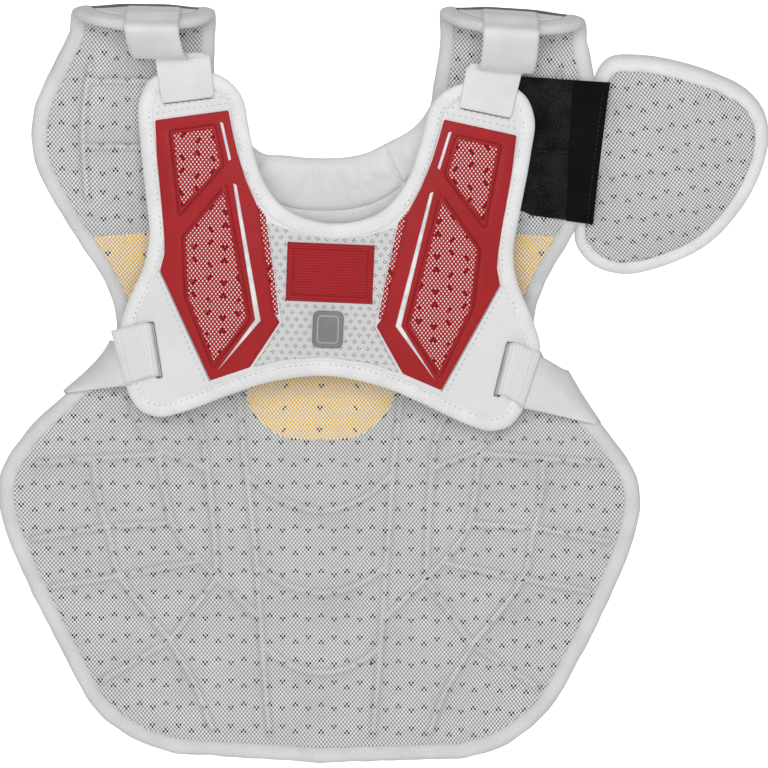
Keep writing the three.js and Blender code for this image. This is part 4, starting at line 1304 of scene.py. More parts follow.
    def seam_line_and_painted_shade(self, p: Array) -> Array:
        """Light thread line where the mesh closes, above 0, and painted shade beside it, below 0, at pattern
        points of the right half.
        """
        sewn = np.min([line_distance(p, line) for line in self.lines], axis=0)
        return 0.3 * bell(sewn, 0, 1.0) - 0.14 * bell(sewn, 2.5, 1.3)

    def pad(self) -> None:
        """Makes the padded panel."""
        inner, outer = self.form.rows(*self.row_counts)
        flat = loft(inner, outer, self.columns)
        rows, columns, neck, k = len(inner), self.columns, self.row_counts[0], self.coarse
        few = flat.reshape(rows, columns, 2)[::k, ::k]
        coarse_rows, coarse_columns = few.shape[:2]
        few = few.reshape(-1, 2)
        # sewn holds the seam marks: the closed-mesh thread line and the painted shade beside each channel
        lining, cover, sewn = self.level(flat), self.thickness(few), self.seam_line_and_painted_shade(flat)
        shell = Shell()
        for side in Side:
            placed, front = side.put(flat), side.put(few)
            low = shell.add(self.form.lay(placed, lining), placed, sewn)
            high = shell.add(self.form.lay(front, cover), front)
            shell.grid(low, rows, columns, 0, side is Side.LEFT)
            shell.grid(high, coarse_rows, coarse_columns, 1, side is Side.RIGHT)
            rim = [(0, c) for c in range(columns - 1)] + [(r, columns - 1) for r in range(rows - 1)]
            rim += [(rows - 1, c) for c in range(columns - 1, 0, -1)]
            rim += [(r, 0) for r in range(rows - 1, neck - 1, -1)]
            for i in range(0, len(rim) - 1, k):
                stretch = rim[i:i + k + 1]
                near = [low + r * columns + c for r, c in stretch]
                far = [high + (r // k) * coarse_columns + c // k for r, c in (stretch[-1], stretch[0])]
                shell.face(near + far)
        piece = shell.build("chest_pad_quilted", self.finishes.lining, self.finishes.cover)
        settle(piece, "lining", "chest_pad")

    def inserts(self) -> None:
        """Makes the mesh-covered foam inserts, just proud of the lining."""
        def lay(p: Array, t: Array) -> Array:
            """Places points on the quilted lining, up towards the wearer."""
            right = np.stack([np.abs(p[:, 0]), p[:, 1]], 1)
            return self.form.lay(p, self.level(right) - t)
        centre = np.vstack([self.centre_insert, mirrored(self.centre_insert)])
        outlines = {"foam_insert_center": catmull(centre, True, 6),
                    "foam_insert_left": rounded(mirrored(self.wing_insert), 1),
                    "foam_insert_right": rounded(self.wing_insert, 1)}
        for node, outline in outlines.items():
            cut = Cut(outline, spacing=3.2, insets=(0.6,))
            cut.build(node + "_mesh", lay, -0.8, 1.1, self.finishes.foam, "foam", node)

    def edge(self) -> tuple[Array, Array]:
        """Seam and outward directions round the whole panel, between the collar's ends."""
        collar_end = self.form.neck(self.form.neck_seam, np.array([1.15, 1.1502]))
        start = int(np.argmin(line_distance(self.seam, collar_end)))
        right = self.seam[start:]
        out = -outward(right, False)
        left, left_out = right[-2::-1] * [-1, 1], out[-2::-1] * [-1, 1]
        out[-1] = (0, -1)
        return np.vstack([right, left]), np.vstack([out, left_out])

    def bind(self) -> None:
        """Makes the edge binding and its row of stitches."""
        w, t = self.form.binding, self.form.pad_edge
        section = [(-0.4, -0.6), (0.14 * w, -1.3), (0.5 * w, -1.5), (0.82 * w, -0.3), (w, 0.3 * t),
                   (w, 0.7 * t), (0.82 * w, t - 1.2), (0.5 * w, t - 0.2), (0.14 * w, t + 0.2),
                   (-0.4, t - 0.2)]
        line, out = self.edge()
        swept("chest_edge_binding", line, out, section, False, self.form.lay, self.finishes.tape, "binding",
              "chest_binding", pucker=0.5, seed=3)
        run = StitchRun("chest_binding_stitches", self.finishes.white_thread, "binding", 3.4, 2.2, 0.55, 0.5)
        self.form.sew(run, line + out * (0.16 * w), -1.38)
        run.build()

    def quilting(self) -> None:
        """Lays the stitches of the sewn channels."""
        run = StitchRun("quilting_stitches", self.finishes.white_thread, "lining", 2.6, 2.1, 0.35, 0.3)
        for line in self.lines:
            path = spaced(line, False, max(6, int(travelled(line)[-1] / 3)))
            level = self.level(path) - 0.1
            for side in Side:
                self.form.sew(run, side.put(path), level)
        run.build()
        run = StitchRun("quilting_knots", self.finishes.black_thread, "lining", 1.0, 1.9, 1.4, 0.9)
        for x, v in self.knots:
            placed = np.array([(x - 0.5, v - 0.3), (x + 0.5, v + 0.3)])
            self.form.sew(run, placed, self.level(np.abs(placed) * [1, -1]) - 0.2)
        run.build()

    def patches(self) -> None:
        """Makes the white patches on the tongues' ends."""
        inner, outer = self.form.rows(4, 4, 40)
        inner, outer = inner[8 + 21:], outer[8 + 21:]
        columns = 40
        flat = loft(inner, outer, columns)
        thick = self.thickness(flat)
        cut = Cut(np.vstack([inner, outer[::-1]]))
        for side in Side:
            placed = side.put(flat)
            shell = Shell()
            shell.slab(self.form.lay(placed, thick - 0.2), self.form.lay(placed, thick + 0.8), placed,
                       len(inner), columns)
            piece = shell.build(f"shoulder_patch_{side.word}_cloth", self.finishes.white)
            cut.sheet()
            settle(piece, "white_cover", f"shoulder_patch_{side.word}")

    def build(self) -> None:
        """Makes every piece of the panel."""
        self.pad()
        self.inserts()
        self.bind()
        self.quilting()
        self.patches()


@dataclass
class Collar:
    """Padded collar at the neckline, with the tape along its lower seam."""

    form: PadForm
    finishes: Finishes
    reach: float = 1.135
    stations: int = 220
    seam_angle: float = 0.47
    seam_slant: float = 0.15
    corners: tuple = ((-44.0, 4.0, 11.0), (46.0, -2.4, 14.0))
    creases: tuple = ((0.0, 0.022, 0.8), (0.07, 0.018, 0.6), (0.13, 0.022, 0.9), (0.24, 0.03, 0.5),
                      (-0.13, 0.03, 0.45), (-0.3, 0.035, 0.5), (0.36, 0.02, 0.4))

    def roll(self) -> None:
        """Makes the padded roll."""
        angles = np.linspace(-self.reach, self.reach, self.stations)
        low = self.form.neck(self.form.neck_seam, angles)
        high = self.form.neck(self.form.neck_line, angles)
        for middle, drop, width in self.corners:
            high[:, 1] -= drop * bell(high[:, 0], middle, width)
        section = [(-0.02, 2.0), (0.02, -6.4), (0.1, -8.2), (0.4, -6.4), (0.7, -4.0), (0.9, -1.8),
                   (0.99, 1.0), (1.0, 3.6), (0.97, 6.4), (0.8, 10.0), (0.5, 11.0), (0.2, 10.2), (0.02, 8.0)]
        shape = spaced(catmull(np.array(section) * [40, 1], True, 8), True, 44) / [40, 1]
        shell = Shell()
        points, pattern, held = [], [], []
        width = np.linalg.norm(high - low, axis=1)
        far = travelled(high)
        for i, angle in enumerate(angles):
            share = shape[:, 0]
            seam_at = self.seam_angle + self.seam_slant * (1 - share)
            sewn = bell(abs(angle), seam_at, 0.016)
            crease = sum(h * bell(angle + 0.06 * share, c, w) for c, w, h in self.creases)
            fade = np.sin(np.pi * np.clip(share, 0, 1)) ** 0.5
            back = ease(-shape[:, 1], -3.0, 0.5)
            level = 3.6 + (shape[:, 1] - 3.6) * (1 - 0.3 * sewn) + 0.9 * crease * fade * back
            flat = low[i] + (high[i] - low[i]) * share[:, None]
            points.append(self.form.lay(flat, level))
            pattern.append(np.stack([np.full(len(shape), far[i]), share * width[i]], 1))
            ends = i in (0, self.stations - 1)
            held.append((share < 0.25) | (share > 0.98) | (shape[:, 1] > 2) | (sewn > 0.5) | ends)
        shell.grid(0, self.stations, len(shape), turned=True, tube=True)
        places = swollen(np.vstack(points), shell.faces, np.concatenate(held), 1.5)
        shell.caps(shell.add(places, np.vstack(pattern)), self.stations, len(shape))
        # Built in the collar cloth painted lighter: painted light against the roll's shade
        piece = shell.build("collar_roll", self.finishes.collar)
        settle(piece, "white_cover", "collar_pad")
        self.seams(places.reshape(self.stations, len(shape), 3), shape)

    def seams(self, places: Array, shape: Array) -> None:
        """Lays the thread of the roll's two upright seams, in grey thread that also stands for painted shade
        along each seam.

        Args:
            places: the roll's points, by station and by point of the section.
            shape: the section, as (share of the width, level).
        """
        # Grey thread, darker than the white collar: partly painted shade of the seam
        run = StitchRun("collar_seams", self.finishes.grey_thread, "white_cover", 2.0, 2.3, 0.5, 0.4)
        seen = [j for j, (share, level) in enumerate(shape) if level < 2 and 0.05 < share]
        seen.sort(key=lambda j: shape[j, 0])
        for side in Side:
            angle = side.value * (self.seam_angle + self.seam_slant * (1 - shape[seen, 0]))
            at = (angle + self.reach) / (2 * self.reach) * (self.stations - 1)
            first = at.astype(int)
            part = (at - first)[:, None]
            row = places[first, seen] * (1 - part) + places[first + 1, seen] * part
            run.row(row, np.tile((0.0, -1.0, 0.0), (len(row), 1)))
        run.build()

    def tape(self) -> None:
        """Makes the tape that covers the collar's lower seam on the lining, in the white tape painted lighter
        against the shade under the harness.
        """
        angles = np.linspace(-self.reach, self.reach, 140)
        line = self.form.neck(self.form.neck_seam, angles)
        section = [(-1.6, 0.8), (-1.0, -6.2), (1.5, -7.6), (6, -7.8), (8.8, -6.4), (9.4, -2.4), (8.8, 0.6),
                   (4.0, 1.2)]
        swept("collar_seam_tape", line, outward(line, False), section, False, self.form.lay,
              self.finishes.tape_painted_lighter, "binding", pucker=0.4, seed=8)

    def build(self) -> None:
        """Makes the collar's pieces."""
        self.roll()
        self.tape()


@dataclass
class Harness:
    """Back harness: plate, binding, overlays with windows and stripes, spacer mesh, label and patch."""

    finishes: Finishes
    at: tuple[float, float, float] = (7.9, 0.0, -156.1)
    turn: float = math.radians(2.43)
    thick: float = 3.0
    binding: float = 10.5
    edge_points: tuple = (
        (0, 18.3), (30, 25.5), (45, 39.5), (54, 57.5), (60.5, 82), (66, 103), (79, 115.5), (104, 121),
        (129, 114), (138, 97), (136.5, 72), (130.5, 28), (127.8, 5), (131, -15), (142, -42), (147.5, -61),
        (146.5, -80), (141, -104.5), (132, -118), (118, -122.4), (103, -119), (64, -103), (40, -94.4),
        (0, -88.2))
    slots: tuple = (((123.6, -56.2), (116.6, -93.6)), ((127.0, -59.5), (119.8, -96.5)))
    slot_width: float = 8.0
    overlay: tuple = (
        (75, 93), (126, 84.5), (124, 60), (119.5, 24), (117, 3), (116.8, -8), (119.5, -19.5), (81.7, -95),
        (54, -84.5), (34, -52), (37.8, -46.2), (51.2, 25), (54, 31), (61, 45), (67.8, 64), (72, 80))
    window_upper: tuple = ((86, 80), (113, 75.5), (105.5, 24.5), (79.5, 55.5))
    window_lower: tuple = ((76.2, 36.5), (102, 4), (99, -36.5), (79.6, -81.5), (57.6, -50.5))
    sliver: tuple = ((52.2, 29), (46.5, 21.5), (38.4, -24), (34.9, -47), (38.6, -46.4), (52.2, 25))
    stripe_short: tuple = ((80.6, 84.8), (78.4, 84.3), (71.8, 59.5), (73.6, 58.3))
    stripe_long: tuple = ((69.9, 43), (67.4, 42), (47.4, -51.4), (76.6, -87.6), (51.4, -51))
    spacer: tuple = ((0, 6.6), (24, 10), (45, 17), (32.6, -52.5), (51.5, -84.5), (30, -78), (0, -75.2))
    label: tuple[float, float, float] = (60.5, 40.5, -16.3)
    patch: tuple[float, float, float] = (21.7, 26.0, -55.7)

    def depth(self, p: Array) -> Array:
        """Depth of the harness's back at plane points."""
        beyond = np.maximum(0, np.abs(p[:, 0]) - 40)
        return 20 - 0.27 * p[:, 1] + 4.0e-4 * p[:, 1] ** 2 + 1.2e-3 * beyond**2

    def world(self, local: Array) -> Array:
        """Places in space of points in the harness's own frame."""
        c, s = math.cos(self.turn), math.sin(self.turn)
        x = local[:, 0] * c + local[:, 2] * s
        z = -local[:, 0] * s + local[:, 2] * c
        return np.stack([x, local[:, 1], z], 1) + np.array(self.at)

    def lay(self, p: Array, lift: Array) -> Array:
        """Places in space of plane points, lifted off the harness towards the back."""
        p = np.asarray(p, float)
        return self.world(np.stack([p[:, 0], self.depth(p) - lift, p[:, 1]], 1))

    def lay_under(self, p: Array, level: Array) -> Array:
        """Places in space of plane points at levels towards the wearer's front."""
        return self.lay(p, -np.asarray(level, float))

    def up(self, p: Array) -> Array:
        """Directions off the harness towards the back."""
        h = 0.5
        da = (self.depth(p + [h, 0]) - self.depth(p - [h, 0])) / (2 * h)
        db = (self.depth(p + [0, h]) - self.depth(p - [0, h])) / (2 * h)
        local = np.stack([da, -np.ones(len(p)), db], 1)
        local /= np.linalg.norm(local, axis=1, keepdims=True)
        return self.world(local) - np.array(self.at)

    def sew(self, run: StitchRun, path: Array, lift: float, closed: bool = False) -> None:
        """Adds a row of stitches along plane points."""
        run.row(self.lay(path, lift), self.up(path), closed)

    @staticmethod
    def rectangle(width: float, height: float, middle: float) -> Array:
        """Corners of an upright rectangle, with its middle at a height."""
        return np.array([(-1, -1), (1, -1), (1, 1), (-1, 1)]) * [width / 2, height / 2] + [0, middle]

    def edge(self, count: int) -> Array:
        """Outer edge of the harness, its inside on the left."""
        half = np.array(self.edge_points, float)
        wide = half + bell(half[:, 1:], -60, 24) * ease(half[:, :1], 100, 140) * [2.8, 0]
        ring = np.vstack([wide, mirrored(half)[1:-1]])
        return anticlockwise(spaced(catmull(ring, True), True, count))

    def slot(self, side: Side) -> Array:
        """Top and bottom ends of a slot's middle, as on the right."""
        return np.array(side.at(self.slots), float)

    def slot_outline(self, side: Side) -> Array:
        """Outline of the slot that the elastic passes through."""
        (top, bottom), width = self.slot(side), self.slot_width
        along = (top - bottom) / np.linalg.norm(top - bottom)
        square = np.array([along[1], -along[0]])
        near, far = square * -0.08 * width, square * width / 2
        top, bottom = top + along * 0.9, bottom - along * 0.9
        return rounded(sided(side, [bottom + near, bottom + far, top + far, top + near]), 1.5)

    def base(self) -> None:
        """Makes the white plate, its edge binding and the dark lines, partly painted shadow, at the overlays'
        lower edges and in the slots.
        """
        line = self.edge(320)
        out = outward(line, True)
        inset = line - out * (self.binding - 1.2)
        slots = [self.slot_outline(side) for side in Side]
        overlays = [sided(side, self.overlay) for side in Side]

        def swell(p: Array) -> Array:
            """Soft padding of the plate, flat under its overlays and sunk towards its slots."""
            covered = inside(p, overlays[0]) | inside(p, overlays[1]) | (np.abs(p[:, 0]) < 46)
            near = np.min([line_distance(p, s, True) for s in slots], axis=0)
            return np.where(covered, 0.0, 0.12 * ripple(p, 26, 4)) - 0.9 * bell(near, 0, 3.0)
        Cut(inset, slots, 3.6).build("harness_plate_cloth", self.lay, -self.thick, self.thick,
                                     self.finishes.white, "white_cover", "harness_plate", 0.6, swell)
        w, t = self.binding, self.thick
        section = [(-w - 0.2, -0.3), (0.14 * w - w, -1.3), (0.45 * w - w, -2.0), (0.8 * w - w, -1.4),
                   (0.0, 0.6), (0.05, 0.7 * t), (0.8 * w - w, t + 1.3), (0.4 * w - w, t + 1.6),
                   (-w - 0.2, t + 0.5)]
        # The binding is in the white tape painted lighter: painted light against its shade
        swept("harness_edge_binding", line, out, section, True, self.lay_under, self.finishes.tape_painted_lighter,
              "binding", "harness_binding", pucker=0.5, seed=11)
        run = StitchRun("harness_binding_stitches", self.finishes.grey_thread, "binding", 4.1, 1.7, 0.8, 0.5)
        row = line - out * (0.78 * w)
        top = (np.abs(row[:, 0]) < 50) & (row[:, 1] > 0)
        row = np.roll(row, -int(np.flatnonzero(top & ~np.roll(top, -1))[0]) - 1, axis=0)[:int((~top).sum())]
        self.sew(run, row, 1.55)
        hems = (((77, 97.6), (124.5, 89.6)), ((76.4, 102.2), (124, 94.2)), ((122.6, -20.5), (86.4, -94.5)))
        for side in Side:
            for ends in hems:
                self.sew(run, between(*sided(side, ends), 24), 0.15)
        run.build()
        # Dark thread lines along each overlay's lower edge and down inside each slot: partly the overlay's
        # dark edge, partly painted shadow of that edge and of the deep slit
        edges = StitchRun("harness_dark_edges", self.finishes.black_thread, "white_cover", 1.5, 1.7, 0.5, 0.5)
        for side in Side:
            self.sew(edges, between(*sided(side, ((120.1, -19.6), (82.2, -95.4))), 24), 0.3)
            path = between(*side.put(self.slot(side)), 20, 0.02, 0.98)
            edges.row(self.lay(path - [side.value * 0.4, 0], -1.4), self.up(path))
        edges.build()

    def overlays(self) -> None:
        """Makes the red overlays, their windows, slivers and stripes."""
        f = self.finishes
        rope = StitchRun("window_border_stitches", f.red_thread, "red_cover", 1.6, 3.4, 1.3, 0.9,
                         math.radians(50))
        sewn = StitchRun("overlay_edge_stitches", f.red_thread, "red_cover", 3.0, 2.1, 0.6, 0.5)
        for side in Side:
            word = side.word
            windows = {"window_upper": sided(side, self.window_upper),
                       "window_lower": sided(side, self.window_lower)}
            holes = [rounded(w, 1.6) for w in windows.values()]
            borders = [rounded(mitred(w, 2.6), 2.6) for w in windows.values()]

            def relief(p: Array) -> Array:
                """Sunk border round the windows and soft unevenness."""
                near = np.min([line_distance(p, b, True) for b in borders], axis=0)
                return -0.55 * np.exp(-((near / 1.6) ** 4)) + 0.05 * ripple(p, 18, 9)
            outline = rounded(sided(side, self.overlay), 1.2)
            Cut(outline, holes, 2.6, (0.5, 1.2, 2.0, 3.0)).build(
                f"red_overlay_{word}_cloth", self.lay, 0.25, 1.5, f.red, "red_cover", f"red_overlay_{word}",
                0.7, relief, "harness_plate")
            for name, corners in windows.items():
                Cut(rounded(mitred(corners, 0.3), 1.5), spacing=4).build(
                    f"{name}_{word}_mesh", self.lay, 0.2, 0.6, f.window, "red_mesh", f"{name}_{word}", 0.3,
                    on="harness_plate")
                self.sew(rope, densified(rounded(mitred(corners, 2.6), 2.6), 1.5), 1.05, True)
            Cut(rounded(sided(side, self.sliver), 0.5), spacing=3).build(
                f"mesh_sliver_{word}_mesh", self.lay, 0.15, 0.9, f.window, "red_mesh", f"mesh_sliver_{word}",
                0.4)
            for name, corners in (("stripe_short", self.stripe_short), ("stripe_long", self.stripe_long)):
                Cut(rounded(sided(side, corners), 0.5), spacing=3, insets=(0.5,)).build(
                    f"{name}_{word}_print", self.lay, 1.6, 0.75, f.stripe, "stripe", f"{name}_{word}", 0.5)
            path = densified(mitred(outline, -1.8), 3)
            lower = path[(np.abs(path[:, 0]) < 53.5) & (path[:, 1] < 26)]
            order = np.argsort(-lower[:, 1])
            sewn.row(self.lay(lower[order], np.full(len(lower), 1.72)), self.up(lower))
        rope.build()
        sewn.build()

    def centre(self) -> None:
        """Makes the spacer mesh, the blank label and the blank rubber patch."""
        f = self.finishes
        outline = np.vstack([self.spacer, mirrored(self.spacer)[1:-1]])
        Cut(rounded(outline, 2), spacing=4).build("spacer_mesh_cloth", self.lay, 0.2, 1.2, f.spacer, "spacer",
                                                  "spacer_mesh", 0.6, on="harness_plate")
        label = self.rectangle(*self.label)

        def border(p: Array) -> Array:
            """Turned-in hem of the label."""
            near = line_distance(p, label, True)
            return 0.25 * bell(near, 1.8, 1.2) - 0.3 * bell(near, 4.4, 0.8)
        Cut(rounded(label, 1.5), spacing=2.6, insets=(0.5, 1.2, 2.4, 3.6, 4.4, 5.2)).build(
            "label_blank", self.lay, 1.5, 1.5, f.label, "label", "label", 0.6, border, "spacer_mesh")
        run = StitchRun("label_stitches", f.red_thread, "label", 2.0, 2.2, 0.75, 0.5)
        for inset, lift in ((-0.1, 2.0), (-4.4, 2.85)):
            self.sew(run, densified(mitred(label, inset), 3), lift, True)
        run.build()
        patch = self.rectangle(*self.patch)
        rim, frame_line = rounded(patch, 5, 6), rounded(mitred(patch, -3.6), 3)

        def mould(p: Array) -> Array:
            """Raised rim and fine raised frame of the patch."""
            near, line = line_distance(p, rim, True), line_distance(p, frame_line, True)
            return 0.7 * (1 - ease(near, 1.2, 2.2)) + 0.3 * np.exp(-((line / 0.6) ** 4))
        Cut(rim, spacing=1.2, insets=(0.5, 1.2, 1.8)).build(
            "rubber_patch_blank", self.lay, 1.5, 1.6, f.rubber, "rubber", "rubber_patch", 0.8, mould)
        line = densified(frame_line, 1.5)
        bead = [(-0.45, -2.6), (0.45, -2.6), (0.4, -3.45), (-0.4, -3.45)]
        swept("rubber_patch_line", line, outward(line, True), bead, True, self.lay_under, f.rubber_line,
              "rubber")

    def build(self) -> None:
        """Makes every piece of the harness."""
        self.base()
        self.overlays()
        self.centre()


@dataclass
class Straps:
    """Shoulder straps with their tabs, side straps and their elastic ends."""

    panel: ChestPanel
    harness: Harness
    finishes: Finishes
    webbing: float = 38.0
    thick: float = 1.6
    tongue_x: tuple[float, float] = (120.5, 126.5)
    tab_top: tuple = ((89, 131), (128, 130))
    tab_bottom: tuple = ((84.8, 101.6), (121.6, 96))
    tab_lift: float = 3.4
    slack: tuple = ((0, 0, 6, 4.8), (0.06, 0.4, 10.5, 4.5), (0.16, 0.76, 10, 3.4), (0.3, 0.95, 6, 0.6),
                    (0.7, 0.94, 3.2, -2.4), (1, 1, 0.3, 0))
    elastic_path: tuple = ((-11, -6.6), (-2, -6.6), (1.6, -5.6), (2.7, -1.6), (4.4, 2.0), (7, 2.9))
    elastic_seams: tuple = (((153, -62.6), (141.7, -100.5)), ((150.8, -65.2), (140.4, -104.2)))
    folds: tuple = ((-224, -263), (-248, -284))
    fold_shift: tuple = (((0, 0), (0, 0), (0, 0)), ((7, 0), (2.5, -1), (-1.3, -1.9)))
    tail: float = 34.0

    def shoulder(self, side: Side) -> None:
        """Makes a shoulder strap, its tab and the painted shadow line under the tab."""
        form, word = self.panel.form, side.word
        x = side.at(self.tongue_x)
        signs = (1, -1) if side is Side.LEFT else (-1, 1)

        def line(v: float, t: float | None = None) -> Array:
            """Cross line on the tongue, from the viewer's left to right."""
            p = np.array([(x + s * self.webbing / 2, v) for s in signs])
            level = self.panel.thickness(p) + 1.4 if t is None else np.full(2, t)
            return form.point(side.value * p[:, 0], p[:, 1], level)
        tip = line(57, 7)
        top = side.put(self.tab_top)
        top = top[::-1] if side is Side.LEFT else top
        stop = self.harness.lay(top - [0, 3.0], self.tab_lift - 0.4)
        lines = [line(29), line(33), line(39), line(47, form.pad_edge + 2.8), tip]
        lines += [tip + (stop - tip) * [over, down, down] + [0, -back, -sag]
                  for over, down, back, sag in self.slack]
        ribbon(f"shoulder_strap_{word}", halved(lines), self.thick, self.finishes.strap,
               "strap")
        corners = side.put([*self.tab_top, *self.tab_bottom[::-1]])
        outline = rounded(corners, 3.2)

        def hem(p: Array) -> Array:
            """Pressed edge of the tab."""
            near = line_distance(p, outline, True)
            return -0.35 * bell(near, 2.4, 0.8) + 0.05 * ripple(p, 9, 6)
        Cut(outline, spacing=2.6, insets=(0.5, 1.2, 2.4, 3.4)).build(
            f"strap_tab_{word}_loop", self.harness.lay, self.tab_lift - 0.2, self.thick + 0.4,
            self.finishes.strap, "strap", f"strap_tab_{word}", 0.8, hem, "harness_plate")
        run = StitchRun(f"strap_stitches_{word}", self.finishes.white_thread, "strap", 2.2, 2.0, 0.5, 0.45,
                        math.radians(35))
        path = between(corners[0] + [0, -1.5], corners[1] + [0, -1.5], 16, 0.05, 0.95)
        self.harness.sew(run, path, self.tab_lift + self.thick + 0.15)
        path = between(*line(44.5, form.pad_edge + 4.2), 16, 0.05, 0.95)
        run.row(path, np.tile(form.normal(side.value * x, 44.5), (len(path), 1)))
        run.build()
        # A dark thread line just under each tab's lower edge: painted shadow of the raised tab
        tab_shadow_line = StitchRun(f"tab_hook_edge_{word}", self.finishes.black_thread, "strap", 1.5, 1.8, 0.6, 0.5)
        self.harness.sew(tab_shadow_line, between(corners[3], corners[2], 20, 0.06, 0.95) - [0, 0.3], 0.8)
        tab_shadow_line.build()

    def edge_at(self, v: float) -> tuple[Array, Array]:
        """Place and outward direction of the panel's side seam at a height."""
        line = catmull(np.array(self.panel.form.torso_edge), False)
        out = outward(line, False)
        low = len(line) // 2
        k = low + int(np.argmin(np.abs(line[low:, 1] - v)))
        return line[k], out[k]

    def side(self, side: Side) -> None:
        """Makes a side strap and its elastic end."""
        form, word, sign = self.panel.form, side.word, side.value
        slot, seam = self.harness.slot(side), np.array(side.at(self.elastic_seams))

        def cross(line: Array, lift: float) -> Array:
            """Cross line on the harness."""
            return self.harness.lay(side.put(line), lift)
        lines = [cross(slot + [along, 0], lift) for along, lift in self.elastic_path]
        root = slot + [self.elastic_path[-1][0], 0]
        lines += [cross(root + (seam - root) * share, 3.2) for share in (0.3, 0.65, 1.0)]
        lines = np.array(lines)[:, ::-1] if side is Side.RIGHT else np.array(lines)
        ribbon(f"side_elastic_{word}", halved(lines), self.thick, self.finishes.elastic,
               "elastic")
        high, low = side.at(self.folds)
        shift = np.array(side.at(self.fold_shift), float)
        ends = [self.edge_at(v) for v in (high, (high + low) / 2, low)]
        w, t = form.binding, form.pad_edge
        wraps = [(w + 0.6, -2.4, 1.5), (w + 1.2, t / 2, 0), (w + 0.6, t + 2.2, 0), (0, t + 4.5, 0),
                 (-0.5 * self.tail, None, 0), (-self.tail, None, 0)]
        start = halved([cross(seam - [4, 0], 1.3)])[0]
        fold = []
        for reach, level, lifted in wraps:
            q = np.array([p + out * reach for p, out in ends]) + shift * np.clip(0.6 + 0.06 * reach, 0, 1)
            q[0, 1] += lifted
            heights = self.panel.thickness(q) + 2.2 if level is None else np.full(3, level)
            fold.append(form.point(sign * q[:, 0], q[:, 1], heights))
        lines = np.array([start, (start + fold[0]) / 2, *fold])
        lines = lines[:, ::-1] if side is Side.RIGHT else lines
        ribbon(f"side_strap_{word}", lines, self.thick, self.finishes.strap,
               "strap")
        run = StitchRun(f"side_stitches_{word}", self.finishes.white_thread, "strap", 2.0, 2.2, 0.5, 0.5,
                        math.radians(40))
        seam = side.put(seam)
        for along in (-2.0, -5.0):
            path = between(*(seam + [sign * along, 0]), 16, 0.04, 0.96)
            self.harness.sew(run, path, 3.2 + self.thick + 0.2)
        run.build()

    def build(self) -> None:
        """Makes every strap."""
        for side in Side:
            self.shoulder(side)
            self.side(side)


